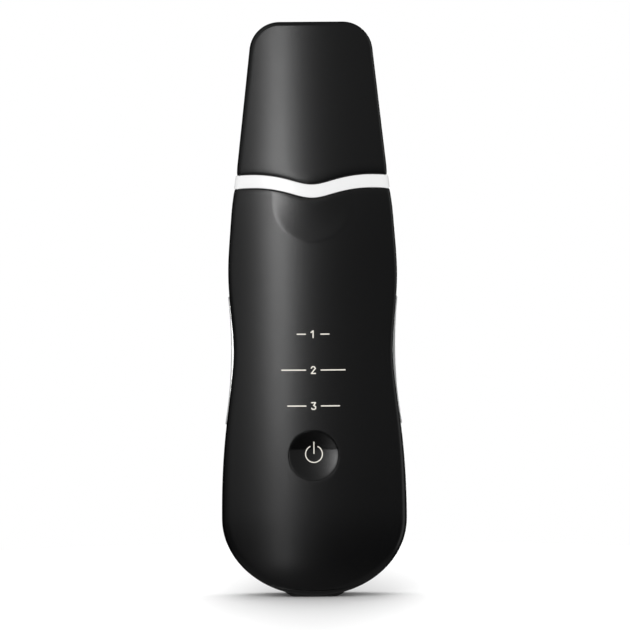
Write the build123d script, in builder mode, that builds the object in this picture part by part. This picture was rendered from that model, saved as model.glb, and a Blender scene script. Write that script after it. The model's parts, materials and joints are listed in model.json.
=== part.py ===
from build123d import *
from functools import cache
import math
import os

os.makedirs("parts", exist_ok=True)

# An ultrasonic skin scrubber that stands on its foot with its cap on. Millimetres, +Z up, the
# front face towards -Y, and the origin on the ground under the middle of the foot.

# Outer form: widths of the outline, and the heights at which they lie
overall_length = 168.0
sole_height = 0.2
bulb_width = 54.1
bulb_height = 23.0
hip_width = 51.96
hip_height = 46.0
flank_width = 48.54
flank_height = 60.0
waist_width = 46.5
waist_height = 72.3
rib_width = 48.12
rib_height = 84.0
shoulder_width = 49.32
shoulder_height = 94.5
throat_width = 47.82
throat_height = 108.0
nape_width = 46.3
nape_height = 116.0
neck_width = 44.2
neck_height = 123.0
tip_width = 35.9
tip_height = 160.2
tip_radius = 8.8

# Outer form: how far the front and back faces stand from the middle plane
sole_depth = 7.6
heel_depth = 11.4
bulb_depth = 12.5
waist_front = 11.0
waist_back = 10.8
shoulder_depth = 10.8
neck_depth = 9.8
cap_front = 7.6
cap_back = 7.8
tip_front = 5.8
tip_back = 6.2
front_crown = 100.0
back_crown = 75.0
edge_radius = 2.4
least_edge_radius = 0.6

# Crowned sections: how far each lies above the height it belongs to, and how far it reaches out
section_lifts = (-26.0, -13.0, 5.0, 0.0, 2.5, -1.0, 27.0, 4.0)
section_reaches = (17.0, 26.0, 31.0, 31.0, 30.0, 27.0, 24.0, 20.5)

# Walls and clearances
shell_wall = 2.0
cap_wall = 1.8
collar_wall = 1.6
cap_clearance = 0.3
fit_gap = 0.1
seam_gap = 0.12
rest_gap = 0.15

# Band, waves and thumb scoop
band_height = 3.9
band_drop = 3.5
band_proud = 0.15
wave_dip = 2.84
wave_half = 6.8
wave_reach = 15.5
wave_fall = 0.7
scoop_radius = 12.0
scoop_depth = 0.4
scoop_drop = 8.0

# Parting line between the shells, seen from the side
parting_toe = 8.7
parting_toe_height = 2.5
parting_heel = 5.5
parting_heel_height = 7.0
parting_straight = 28.0
gasket_outer = 1.05
gasket_inner = 1.65
gasket_half_depth = 0.5

# Middle stack: the tray is the plane that all else is set from
tray_front = -0.7
tray_thickness = 1.2
post_height = 1.0
board_thickness = 1.2
arm_thickness = 1.2

# Screws
screw_diameter = 2.0
screw_head = 3.8
screw_head_height = 1.6
boss_diameter = 6.0
lower_screw_x = 20.5
lower_screw_drop = 3.0
upper_screw_x = 17.5
upper_screw_lift = 1.5
screw_seat = 2.6
screw_socket = 2.0
plug_inset = 0.1
screw_reach = 4.6
board_screw_diameter = 1.6
board_screw_head = 3.0
board_screw_head_height = 1.1
board_screw_socket = 0.85
board_screw_x = 11.6
board_screw_rise = 3.2
board_screw_lift = 7.3

# Button and its switch
button_diameter = 14.5
button_drop = 4.4
dish_depth = 0.85
dish_land = 0.25
button_flange = 17.2
flange_thickness = 0.8
button_travel = 0.5
stem_diameter = 3.6
icon_diameter = 5.3
icon_stroke = 0.6
icon_gap_angle = 25.0
icon_bar = 3.7
icon_depth = 0.4
switch_width = 6.0
switch_height = 3.4
plunger_diameter = 3.4
plunger_height = 1.1

# Lit legends: a digit between two dashes, the digits as strokes in parts of their own height
legend_lift = 4.7
legend_pitch = 10.45
legend_widths = (9.6, 18.8, 15.4)
legend_cap_height = 2.3
legend_stroke = 0.36
digit_half = 0.3
dash_gap = 1.5
digits = (
    [[(-0.3, 0.26), (0.0, 0.5), (0.0, -0.5)]],
    [[(-0.3, 0.3), (-0.15, 0.5), (0.15, 0.5), (0.3, 0.25), (-0.3, -0.5), (0.3, -0.5)]],
    [
        [(-0.3, 0.5), (0.3, 0.5), (0.0, 0.08)],
        [(0.0, 0.08), (0.3, -0.1), (0.3, -0.36), (0.15, -0.5), (-0.18, -0.5), (-0.3, -0.34)],
    ],
)
light_box_width = 25.0
light_box_wall = 1.4
led_length = 3.0
led_width = 1.6
led_height = 1.2

# Side electrodes
strip_below_waist = 22.0
strip_above_waist = 15.5
strip_width = 6.6
strip_middle_y = -0.5
strip_thickness = 1.3
strip_edge = 0.3
strip_end_proud = 0.47
strip_waist_proud = 0.79
stud_diameter = 2.0
stud_y = -2.4
stud_inset = 0.65
spring_thickness = 0.3
spring_width = 3.0

# Neck, blade and transducer
collar_drop = 11.0
collar_rise = 9.5
arm_width = 6.0
arm_overlap = 6.0
seal_length = 28.4
seal_width = 3.6
seal_lip = 0.8
round_ratio = 0.45
blade_thickness = 0.8
blade_width = 25.6
blade_tip_width = 23.6
blade_bend_radius = 90.0
blade_bend_angle = 14.0
blade_tip_gap = 5.4
blade_corner = 2.0
lug_width = 6.0
lug_depth = 5.0
shoulder_gap = 2.0
shoulder_rise = 4.5
pin_diameter = 1.2
horn_drop = 6.5
horn_tip_radius = 3.4
stack_radius = 6.0
horn_flange_radius = 6.5
grommet_radius = 7.3
bracket_bore_radius = 7.35
bracket_ring_radius = 8.4
horn_neck_radius = 5.4
horn_length = 17.8
horn_neck = 1.0
flange_rise = 3.6
flange_height = 1.2
grommet_edge = 1.2
wing_reach = 15.0
wing_depth = 4.7
piezo_thickness = 2.8
washer_thickness = 0.3
tab_length = 1.6
tab_width = 2.0
tail_length = 6.6
tail_chamfer = 0.3
bolt_radius = 2.0
bolt_head_radius = 3.4
bolt_head_height = 2.4
bolt_socket = 1.9
bolt_socket_depth = 1.4
bolt_reach = 4.8

# Power
battery_width = 34.0
battery_length = 50.0
battery_thickness = 6.0
battery_rise = 4.4
board_half_width = 14.0
board_drop = 13.4
board_gap = 1.1
usb_width = 8.94
usb_height = 3.26
usb_length = 7.3
usb_shell = 0.35
usb_tongue_width = 6.3
usb_tongue_depth = 0.7
board_corner = 3.0
board_tab_width = 11.0
board_tab_gap = 1.3
tray_rise = 1.6
tray_wall = 1.2
tray_wall_height = 4.0
post_diameter = 3.6
window_drop = 8.4
window_width = 16.0
window_height = 14.0
battery_edge = 1.5
pad_margin = 6.0

# Parts on the board
transformer_x = -3.0
transformer_drop = 20.3
transformer_width = 12.0
transformer_length = 10.8
transformer_flange = 1.7
winding_radius = 4.3
winding_length = 2.2
inductor_x = 7.6
inductor_width = 6.0
inductor_depth = 3.6
inductor_corner = 1.5
capacitor_x = 8.6
capacitor_drop = 9.3
capacitor_diameter = 5.0
capacitor_length = 5.4
capacitor_edge = 0.4
chip_drop = 9.7
chip_width = 6.0
chip_thickness = 1.0
transistor_x = 10.9
transistor_width = 5.6
transistor_length = 3.9
transistor_depth = 1.7
connector_drop = 5.2
connector_width = 6.0
connector_length = 4.4
connector_depth = 3.6
lead_diameter = 0.9
lead_spread = 2.0
lead_rise = 4.0
lead_bend = 0.45
pad_x = 6.2
pad_rise = 2.0
spring_foot = 1.2

# Foot
pad_width = 17.4
pad_depth = 12.4
pad_flat = 10.4
pad_end_rise = 1.1
pad_inset = 1.2
pad_corner = 4.0
foot_room = 6.0
recess_length = 13.2
recess_width = 6.7
recess_corner = 0.5
plug_low = 0.2
plug_thickness = 0.7
lid_gap = 0.3
hinge_gap = 0.35
barrel_width = 4.0
tongue_length = 8.0
tongue_width = 2.3
tether_low = 0.42
tether_height = 0.5
tether_length = 0.9
tether_reach = 0.15
tether_width = 2.4

# Worked out from the above
far = overall_length
tray_back = tray_front + tray_thickness
board_back = tray_front - post_height
board_front = board_back - board_thickness
collar_inset = cap_wall + cap_clearance
band_base = neck_height - band_drop
band_top = band_base + band_height
scoop_height = neck_height - scoop_drop
button_height = hip_height - button_drop
legend_top = waist_height + legend_lift
strip_low = waist_height - strip_below_waist
strip_high = waist_height + strip_above_waist
collar_foot = neck_height - collar_drop
collar_top = neck_height + collar_rise
horn_top = neck_height - horn_drop
lower_screw_height = bulb_height - lower_screw_drop
upper_screw_height = shoulder_height + upper_screw_lift
lower_axes = [(side * lower_screw_x, lower_screw_height) for side in (-1, 1)]
upper_axes = [(side * upper_screw_x, upper_screw_height) for side in (-1, 1)]
screw_axes = lower_axes + upper_axes

# Heights of the transducer stack, from its horn down to its bolt's head
horn_low = horn_top - horn_length
flange_low = horn_low + flange_rise
washer_high = horn_low - washer_thickness
front_piezo_low = washer_high - piezo_thickness
washer_low = front_piezo_low - washer_thickness
rear_piezo_low = washer_low - piezo_thickness
tail_low = rear_piezo_low - tail_length
bolt_low = tail_low - bolt_head_height

# Heights of the board, the tray and the battery
usb_mouth = sole_height + shell_wall + fit_gap
board_low = bulb_height - board_drop
board_high = bolt_low - board_gap
board_screw_low = board_low + board_screw_rise
board_screw_high = button_height + board_screw_lift
tray_low = board_low + tray_rise
battery_low = board_low + battery_rise
battery_high = battery_low + battery_length
window_middle = board_high - window_drop
transformer_height = button_height - transformer_drop
capacitor_height = button_height - capacitor_drop
chip_height = button_height - chip_drop
connector_height = board_high - connector_drop

# Sections of the form: height, front depth, back depth, reach to each side
section_bases = 3 * (bulb_height,) + (waist_height, shoulder_height) + 2 * (neck_height,) + (far,)
front_depths = (
    sole_depth, heel_depth, bulb_depth, waist_front, shoulder_depth, neck_depth, cap_front, tip_front
)
back_depths = (
    sole_depth, heel_depth, bulb_depth, waist_back, shoulder_depth, neck_depth, cap_back, tip_back
)
depth_stations = [
    (base + lift, front, back, reach)
    for base, lift, front, back, reach in zip(
        section_bases, section_lifts, front_depths, back_depths, section_reaches
    )
]

# The side of the outline: half widths with their heights
side_stations = [
    (width / 2, height)
    for width, height in (
        (bulb_width, bulb_height),
        (hip_width, hip_height),
        (flank_width, flank_height),
        (waist_width, waist_height),
        (rib_width, rib_height),
        (shoulder_width, shoulder_height),
        (throat_width, throat_height),
        (nape_width, nape_height),
        (neck_width, neck_height),
    )
]


def at_y(y):
    """The upright plane at a depth: sketches on it are seen from the front, and grow forwards."""
    return Plane.XZ.offset(-y)


def sagitta(radius, reach):
    """How far an arc falls away from its crown at a distance to one side."""
    return radius - math.sqrt(radius**2 - reach**2)


@cache
def form(inset):
    """The whole outer form, set in by a wall: crowned sections, cut to the outline, edges rounded."""
    taper = (tip_width - neck_width) / 2, tip_height - neck_height
    top_half = neck_width / 2 + taper[0] / taper[1] * (overall_length - neck_height)
    with BuildPart() as body:
        for height, front, back, widest in depth_stations:
            reach = widest - inset
            front_edge = front - inset - sagitta(front_crown, reach)
            back_edge = back - inset - sagitta(back_crown, reach)
            with BuildSketch(Plane.XY.offset(height)):
                with BuildLine():
                    fore = ThreePointArc((-reach, -front_edge), (0, inset - front), (reach, -front_edge))
                    aft = ThreePointArc((reach, back_edge), (0, back - inset), (-reach, back_edge))
                    Line(fore @ 1, aft @ 0)
                    Line(aft @ 1, fore @ 0)
                make_face()
        loft()
        with BuildSketch(Plane.XZ):
            with BuildLine():
                EllipticalCenterArc(
                    (0, bulb_height),
                    bulb_width / 2 - inset,
                    bulb_height - sole_height - inset,
                    start_angle=270,
                    arc_size=90,
                )
                side = Spline(
                    *[(half - inset, height) for half, height in side_stations],
                    tangents=[(0, 1), taper],
                )
                FilletPolyline(
                    side @ 1,
                    (top_half - inset, overall_length - inset),
                    (0, overall_length - inset),
                    radius=tip_radius - inset,
                )
                mirror(about=Plane.YZ)
            make_face()
        extrude(amount=bulb_width, both=True, mode=Mode.INTERSECT)
        faces = body.faces().sort_by(Axis.Y)
        rims = faces[0].edges() + faces[-1].edges()
        fillet(rims, max(edge_radius - inset, least_edge_radius))
    return body.part


def surface_y(inset, x, height, side=-1):
    """Depth of the form's front (side -1) or back (side 1) face on the line through x, height."""
    hits = form(inset).find_intersection_points(Axis((x, 0, height), (0, 1, 0)))
    depths = [point.Y for point, _ in hits]
    return min(depths) if side < 0 else max(depths)


@cache
def below_wave(height):
    """All that lies under the wavy line at a height, which dips in the middle of the face."""
    with BuildPart() as space:
        with BuildSketch(Plane.XZ):
            with BuildLine():
                wave = Spline(
                    (-bulb_width / 2, height - wave_fall),
                    (-wave_reach, height),
                    (-wave_half, height - wave_dip / 2),
                    (0, height - wave_dip),
                    (wave_half, height - wave_dip / 2),
                    (wave_reach, height),
                    (bulb_width / 2, height - wave_fall),
                    tangents=[(wave_half, wave_fall), (wave_half, -wave_fall)],
                )
                Polyline(
                    wave @ 1,
                    (bulb_width, height - wave_fall),
                    (bulb_width, -far),
                    (-bulb_width, -far),
                    (-bulb_width, height - wave_fall),
                    wave @ 0,
                )
            make_face()
        extrude(amount=bulb_width, both=True)
    return space.part


@cache
def before_parting(shift):
    """All that lies in front of the line between the shells, moved along Y by a shift."""
    with BuildPart() as space:
        with BuildSketch(Plane.YZ):
            with BuildLine():
                line = Spline(
                    (-parting_toe - parting_toe_height + shift, -parting_toe_height / 2),
                    (-parting_toe + shift, parting_toe_height),
                    (-parting_heel + shift, parting_heel_height),
                    (shift, parting_straight),
                    tangents=[(1, 1), (0, 1)],
                )
                Polyline(
                    line @ 1,
                    (shift, far),
                    (-far, far),
                    (-far, -parting_toe_height / 2),
                    line @ 0,
                )
            make_face()
        extrude(amount=bulb_width, both=True)
    return space.part


def bosses(near, axes, side):
    """Screw bosses from a depth out into the shell's wall, front (side -1) or back (side 1)."""
    with BuildPart() as posts:
        with BuildSketch(at_y(near)):
            with Locations(*axes):
                Circle(boss_diameter / 2)
        extrude(amount=-side * bulb_width)
        add(form(gasket_outer), mode=Mode.INTERSECT)
    return posts.part


def surface_x(height):
    """Half the form's width in its middle plane at a height."""
    hits = form(0).find_intersection_points(Axis((0, 0, height), (1, 0, 0)))
    return max(point.X for point, _ in hits)


def legend(width, digit):
    """A lit mark of a given width: a plain digit between two dashes, as strokes."""
    size = legend_cap_height
    figure = [[(x * size, z * size) for x, z in path] for path in digit]
    inner = digit_half * size + dash_gap
    dashes = [[(side * inner, 0), (side * width / 2, 0)] for side in (-1, 1)]
    return figure + dashes


def strokes(paths, height, width):
    """Stroked paths on the front face, as a sketch at a height."""
    with BuildSketch(Plane.XZ) as ink:
        for points in paths:
            for start, end in zip(points, points[1:]):
                middle = ((start[0] + end[0]) / 2, (start[1] + end[1]) / 2 + height)
                length = math.dist(start, end)
                angle = math.degrees(math.atan2(end[1] - start[1], end[0] - start[0]))
                with Locations(middle):
                    SlotCenterToCenter(length, width, rotation=angle)
    return ink.sketch


# The handle's wall, up to the band, before it is parted into its two shells
with BuildPart() as handle_wall:
    add(form(0))
    add(below_wave(band_base), mode=Mode.INTERSECT)
    add(form(shell_wall), mode=Mode.SUBTRACT)

# The light inlays of the three legends, which pass through the front wall
with BuildPart() as window_room:
    for row, (digit, width) in enumerate(zip(digits, legend_widths)):
        extrude(
            strokes(legend(width, digit), legend_top - row * legend_pitch, legend_stroke),
            amount=bulb_width,
        )

with BuildPart() as mode_windows:
    add(window_room.part)
    add(handle_wall.part, mode=Mode.INTERSECT)
mode_windows.part.label = "mode_windows"
export_step(mode_windows.part, "parts/mode_windows.step")

# Side electrodes: curved metal strips with a stud that passes through the wall
strip_low_x = surface_x(strip_low) + strip_end_proud
strip_waist_x = surface_x(waist_height) + strip_waist_proud
strip_high_x = surface_x(strip_high) + strip_end_proud
electrodes = []
for side in (-1, 1):
    with BuildPart() as strip:
        with BuildSketch(Plane.XZ):
            with BuildLine():
                outer = ThreePointArc(
                    (side * strip_low_x, strip_low),
                    (side * strip_waist_x, waist_height),
                    (side * strip_high_x, strip_high),
                )
                inner = ThreePointArc(
                    (side * (strip_high_x - strip_thickness), strip_high),
                    (side * (strip_waist_x - strip_thickness), waist_height),
                    (side * (strip_low_x - strip_thickness), strip_low),
                )
                Line(outer @ 1, inner @ 0)
                Line(inner @ 1, outer @ 0)
            make_face()
        extrude(amount=strip_width, both=True)
        with BuildSketch(Plane.YZ):
            with Locations((strip_middle_y, (strip_low + strip_high) / 2)):
                SlotOverall(strip_high - strip_low, strip_width, rotation=90)
        extrude(amount=bulb_width, both=True, mode=Mode.INTERSECT)
        skin = strip.faces().sort_by(Axis.X)[-1 if side > 0 else 0]
        fillet(skin.edges(), strip_edge)
    electrodes.append(strip.part)

stud_end = waist_width / 2 - shell_wall - stud_inset
with BuildPart() as left_electrode:
    add(electrodes[0])
    with BuildSketch(Plane.YZ.offset(-stud_end)):
        with Locations((stud_y, waist_height)):
            Circle(stud_diameter / 2)
    extrude(amount=stud_end - strip_waist_x + strip_thickness / 2)
left_electrode.part.label = "left_electrode"
export_step(left_electrode.part, "parts/left_electrode.step")

with BuildPart() as right_electrode:
    add(electrodes[1])
    with BuildSketch(Plane.YZ.offset(stud_end)):
        with Locations((stud_y, waist_height)):
            Circle(stud_diameter / 2)
    extrude(amount=strip_waist_x - strip_thickness / 2 - stud_end)
right_electrode.part.label = "right_electrode"
export_step(right_electrode.part, "parts/right_electrode.step")

# Soft cord seal laid in a groove between the shells
with BuildPart() as shell_gasket:
    add(before_parting(gasket_half_depth))
    add(before_parting(-gasket_half_depth), mode=Mode.SUBTRACT)
    add(below_wave(band_base - fit_gap), mode=Mode.INTERSECT)
    add(form(gasket_outer), mode=Mode.INTERSECT)
    add(form(gasket_inner), mode=Mode.SUBTRACT)
shell_gasket.part.label = "shell_gasket"
export_step(shell_gasket.part, "parts/shell_gasket.step")

# Front shell: wall, screw bosses, thumb scoop, button hole and the seats of all that is let into it
button_front = surface_y(0, 0, button_height)
scoop_front = surface_y(0, 0, scoop_height)
scoop_sphere = (scoop_radius**2 + scoop_depth**2) / (2 * scoop_depth)
hole_diameter = button_diameter + 2 * rest_gap
with BuildPart() as front_shell:
    add(handle_wall.part)
    add(before_parting(-seam_gap), mode=Mode.INTERSECT)
    add(bosses(tray_front - fit_gap, lower_axes, -1))
    add(bosses(tray_front - arm_thickness - fit_gap, upper_axes, -1))
    with BuildSketch(at_y(tray_front)):
        with Locations(*screw_axes):
            Circle(screw_diameter / 2 + fit_gap / 2)
    extrude(amount=screw_reach + rest_gap + arm_thickness, mode=Mode.SUBTRACT)
    with BuildSketch(Plane.XZ):
        with Locations((0, button_height)):
            Circle(hole_diameter / 2)
    extrude(amount=bulb_width, mode=Mode.SUBTRACT)
    with Locations((0, scoop_front - scoop_sphere + scoop_depth, scoop_height)):
        Sphere(scoop_sphere, mode=Mode.SUBTRACT)
    for inlay in (window_room, left_electrode, right_electrode, shell_gasket):
        add(inlay.part, mode=Mode.SUBTRACT)
front_shell.part.label = "front_shell"
export_step(front_shell.part, "parts/front_shell.step")

# Soft tether that holds the port plug's hinge barrel to the foot pad
port_y = board_back + usb_height / 2
with BuildPart() as plug_tether:
    with BuildSketch(Plane.XY.offset(tether_low)):
        with Locations((-(recess_length / 2 + tether_length) + tether_length / 2 + tether_reach / 2, port_y)):
            Rectangle(tether_length + tether_reach, tether_width)
    extrude(amount=tether_height)
plug_tether.part.label = "plug_tether"
export_step(plug_tether.part, "parts/plug_tether.step")

# The room that the foot pad takes: flat below, curving up at its ends, let into the shell
with BuildPart() as pad_room:
    with BuildSketch(Plane.XZ):
        with BuildLine():
            flat = Line((-pad_flat / 2, 0), (pad_flat / 2, 0))
            right_end = TangentArc(flat @ 1, (pad_width / 2, pad_end_rise), tangent=(1, 0))
            left_end = TangentArc(flat @ 0, (-pad_width / 2, pad_end_rise), tangent=(-1, 0))
            Polyline(
                right_end @ 1,
                (pad_width / 2, foot_room),
                (-pad_width / 2, foot_room),
                left_end @ 1,
            )
        make_face()
    extrude(amount=pad_depth / 2, both=True)
    fillet(pad_room.edges().filter_by(Axis.Z), pad_corner)
    add(form(pad_inset), mode=Mode.SUBTRACT)

with BuildPart() as foot_pad:
    add(pad_room.part)
    with BuildSketch(Plane.XY):
        with Locations((0, port_y)):
            RectangleRounded(recess_length, recess_width, recess_corner)
    extrude(amount=plug_low + plug_thickness + fit_gap, mode=Mode.SUBTRACT)
    with BuildSketch(Plane.XY):
        with Locations((0, port_y)):
            SlotOverall(usb_width + 2 * rest_gap, usb_height + 2 * rest_gap)
    extrude(amount=foot_room, mode=Mode.SUBTRACT)
    add(plug_tether.part, mode=Mode.SUBTRACT)
foot_pad.part.label = "foot_pad"
export_step(foot_pad.part, "parts/foot_pad.step")

# Port plug: a thin lid with a hinge barrel at its left end and a tongue that fills the port
hinge_x = -(recess_length / 2) + plug_thickness / 2 + hinge_gap
hinge_z = plug_low + plug_thickness / 2
with BuildPart() as port_plug:
    with BuildSketch(Plane.XZ.offset(-port_y)):
        with Locations((hinge_x, hinge_z)):
            Circle(plug_thickness / 2)
    extrude(amount=barrel_width / 2, both=True)
    lid_end = recess_length / 2 - lid_gap
    with BuildSketch(Plane.XY.offset(plug_low)):
        with Locations(((hinge_x + lid_end) / 2, port_y)):
            lid = Rectangle(lid_end - hinge_x, recess_width - 2 * rest_gap)
        fillet(lid.vertices().group_by(Axis.X)[-1], recess_corner)
    extrude(amount=plug_thickness)
    with BuildSketch(Plane.XY.offset(plug_low + plug_thickness)):
        with Locations((0, port_y)):
            SlotOverall(tongue_length, tongue_width)
    extrude(amount=usb_mouth - fit_gap - plug_low - plug_thickness - rest_gap)
port_plug.part.label = "port_plug"
export_step(port_plug.part, "parts/port_plug.step")

# Back shell: wall, bosses with counterbored screw seats, charging port and the foot's seat
with BuildPart() as back_shell:
    add(handle_wall.part)
    add(before_parting(0), mode=Mode.SUBTRACT)
    add(bosses(tray_back + fit_gap, screw_axes, 1))
    with BuildSketch(at_y(tray_back)):
        with Locations(*screw_axes):
            Circle(screw_diameter / 2 + fit_gap)
    extrude(amount=-screw_seat, mode=Mode.SUBTRACT)
    with BuildSketch(at_y(tray_back + screw_seat)):
        with Locations(*screw_axes):
            Circle(screw_head / 2 + rest_gap)
    extrude(amount=-bulb_width, mode=Mode.SUBTRACT)
    with BuildSketch(Plane.XY):
        with Locations((0, port_y)):
            SlotOverall(usb_width + 2 * rest_gap, usb_height + 2 * rest_gap)
    extrude(amount=foot_room, mode=Mode.SUBTRACT)
    for inlay in (pad_room, left_electrode, right_electrode, shell_gasket):
        add(inlay.part, mode=Mode.SUBTRACT)
back_shell.part.label = "back_shell"
export_step(back_shell.part, "parts/back_shell.step")

# Screws of the handle, driven from the back, and the soft plugs over their heads
with BuildPart() as shell_screws:
    with BuildSketch(at_y(tray_back + screw_seat)):
        with Locations(*screw_axes):
            Circle(screw_diameter / 2)
    extrude(amount=screw_seat + tray_thickness + screw_reach)
    with BuildSketch(at_y(tray_back + screw_seat)):
        with Locations(*screw_axes):
            Circle(screw_head / 2)
    extrude(amount=-screw_head_height)
    with BuildSketch(at_y(tray_back + screw_seat + screw_head_height)):
        with Locations(*screw_axes):
            RegularPolygon(screw_socket / 2, 6)
    extrude(amount=screw_head_height / 2, mode=Mode.SUBTRACT)
shell_screws.part.label = "shell_screws"
export_step(shell_screws.part, "parts/shell_screws.step")

with BuildPart() as screw_plugs:
    with BuildSketch(at_y(tray_back + screw_seat + screw_head_height + fit_gap)):
        with Locations(*screw_axes):
            Circle(screw_head / 2 + rest_gap - fit_gap / 2)
    extrude(amount=-bulb_width)
    add(form(plug_inset), mode=Mode.INTERSECT)
screw_plugs.part.label = "screw_plugs"
export_step(screw_plugs.part, "parts/screw_plugs.step")

# White band between the handle and the cap
with BuildPart() as trim_ring:
    add(form(-band_proud))
    add(form(shell_wall), mode=Mode.SUBTRACT)
    add(below_wave(band_top), mode=Mode.INTERSECT)
    add(below_wave(band_base + seam_gap / 2), mode=Mode.SUBTRACT)
trim_ring.part.label = "trim_ring"
export_step(trim_ring.part, "parts/trim_ring.step")

# Cap: a shell of its own wall, open below, ending on the wavy line
with BuildPart() as protective_cap:
    add(form(0))
    add(form(cap_wall), mode=Mode.SUBTRACT)
    add(below_wave(band_top + rest_gap), mode=Mode.SUBTRACT)
protective_cap.part.label = "protective_cap"
export_step(protective_cap.part, "parts/protective_cap.step")

# Neck: the collar that the cap fits over, with two arms held by the upper screws
seal_bottom = collar_top - collar_wall
with BuildPart() as collar_room:
    with BuildSketch(Plane.XY):
        Rectangle(bulb_width, bulb_width)
    extrude(amount=seal_bottom)
    add(form(collar_inset + collar_wall), mode=Mode.INTERSECT)

with BuildPart() as neck_collar:
    with BuildSketch(Plane.XY.offset(collar_foot)):
        Rectangle(bulb_width, bulb_width)
    extrude(amount=collar_top - collar_foot)
    add(form(collar_inset), mode=Mode.INTERSECT)
    add(collar_room.part, mode=Mode.SUBTRACT)
    with BuildSketch(at_y(tray_front)):
        with Locations(*upper_axes):
            Circle(arm_width / 2)
            Rectangle(
                arm_width,
                collar_foot + arm_overlap - upper_screw_height,
                align=(Align.CENTER, Align.MIN),
            )
    extrude(amount=arm_thickness)
    with BuildSketch(at_y(tray_front)):
        with Locations(*upper_axes):
            Circle(screw_diameter / 2 + fit_gap)
    extrude(amount=arm_thickness, mode=Mode.SUBTRACT)
    with BuildSketch(Plane.XY.offset(seal_bottom)):
        RectangleRounded(seal_length, seal_width, seal_width * round_ratio)
    extrude(amount=collar_wall, mode=Mode.SUBTRACT)
neck_collar.part.label = "neck_collar"
export_step(neck_collar.part, "parts/neck_collar.step")

# Blade: a strip with a lug below, bent gently forwards, bevelled to an edge at its tip
blade_tip = overall_length - blade_tip_gap
bend_start = blade_tip - blade_bend_radius * math.sin(math.radians(blade_bend_angle))
lug_low = horn_top - lug_depth
shoulder_low = horn_top + shoulder_gap
bevel_angle = math.degrees(2 * blade_thickness / blade_bend_radius)
with BuildPart() as blade:
    with BuildSketch(Plane.YZ):
        with BuildLine():
            bend = (-blade_bend_radius, bend_start)
            fore = CenterArc(bend, blade_bend_radius - blade_thickness / 2, 0, blade_bend_angle)
            aft = CenterArc(
                bend, blade_bend_radius + blade_thickness / 2, 0, blade_bend_angle - bevel_angle
            )
            Polyline(
                fore @ 0,
                (-blade_thickness / 2, lug_low),
                (blade_thickness / 2, lug_low),
                aft @ 0,
            )
            Line(aft @ 1, fore @ 1)
        make_face()
    extrude(amount=blade_width, both=True)
    with BuildSketch(Plane.XZ):
        with BuildLine():
            Polyline(
                (0, lug_low),
                (lug_width / 2, lug_low),
                (lug_width / 2, shoulder_low),
                (blade_width / 2, shoulder_low + shoulder_rise),
                (blade_width / 2, bend_start),
                (blade_tip_width / 2, blade_tip + blade_thickness),
                (0, blade_tip + blade_thickness),
            )
            mirror(about=Plane.YZ)
        blank = make_face()
        fillet(blank.vertices().group_by(Axis.Y)[-1], blade_corner)
    extrude(amount=blade_width, both=True, mode=Mode.INTERSECT)
    with BuildSketch(Plane.XZ):
        with Locations((0, lug_low + lug_depth / 2)):
            Circle(pin_diameter / 2)
    extrude(amount=blade_thickness, both=True, mode=Mode.SUBTRACT)
blade.part.label = "blade"
export_step(blade.part, "parts/blade.step")

# Rubber seal round the blade, in the slot of the collar's top, with a lip above it
with BuildPart() as blade_seal:
    with BuildSketch(Plane.XY.offset(seal_bottom)):
        RectangleRounded(
            seal_length - fit_gap, seal_width - fit_gap, (seal_width - fit_gap) * round_ratio
        )
    extrude(amount=collar_wall)
    with BuildSketch(Plane.XY.offset(collar_top)):
        RectangleRounded(
            seal_length + 2 * seal_lip, seal_width + 2 * seal_lip, seal_width / 2
        )
    extrude(amount=seal_lip)
    with BuildSketch(Plane.XY.offset(seal_bottom)):
        Rectangle(blade_width + fit_gap, blade_thickness + fit_gap)
    extrude(amount=collar_wall + seal_lip, mode=Mode.SUBTRACT)
blade_seal.part.label = "blade_seal"
export_step(blade_seal.part, "parts/blade_seal.step")

# Transducer stack, from its tail up to the horn that drives the blade
with BuildPart() as transducer_horn:
    with BuildSketch(Plane.XZ):
        with BuildLine():
            Polyline(
                (0, horn_low),
                (stack_radius, horn_low),
                (stack_radius, flange_low),
                (horn_flange_radius, flange_low),
                (horn_flange_radius, flange_low + flange_height),
                (horn_neck_radius, flange_low + flange_height),
                (horn_neck_radius, flange_low + flange_height + grommet_edge),
                (horn_tip_radius, horn_top - lug_depth - horn_neck),
                (horn_tip_radius, horn_top),
                (0, horn_top),
                close=True,
            )
        make_face()
    revolve(axis=Axis.Z)
    with BuildSketch(Plane.XY.offset(horn_low)):
        Circle(bolt_radius + fit_gap / 2)
    extrude(amount=bolt_reach + rest_gap, mode=Mode.SUBTRACT)
    with BuildSketch(Plane.XY.offset(lug_low)):
        Rectangle(2 * horn_flange_radius, blade_thickness)
    extrude(amount=lug_depth, mode=Mode.SUBTRACT)
    with BuildSketch(Plane.XZ):
        with Locations((0, lug_low + lug_depth / 2)):
            Circle(pin_diameter / 2)
    extrude(amount=horn_flange_radius, both=True, mode=Mode.SUBTRACT)
transducer_horn.part.label = "transducer_horn"
export_step(transducer_horn.part, "parts/transducer_horn.step")

with BuildPart() as blade_pin:
    with BuildSketch(Plane.XZ):
        with Locations((0, lug_low + lug_depth / 2)):
            Circle(pin_diameter / 2)
    extrude(amount=horn_tip_radius - fit_gap, both=True)
blade_pin.part.label = "blade_pin"
export_step(blade_pin.part, "parts/blade_pin.step")

with BuildPart() as front_piezo_ring:
    with BuildSketch(Plane.XY.offset(front_piezo_low)):
        Circle(stack_radius)
        Circle(bolt_radius + rest_gap, mode=Mode.SUBTRACT)
    extrude(amount=piezo_thickness)
front_piezo_ring.part.label = "front_piezo_ring"
export_step(front_piezo_ring.part, "parts/front_piezo_ring.step")

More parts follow.
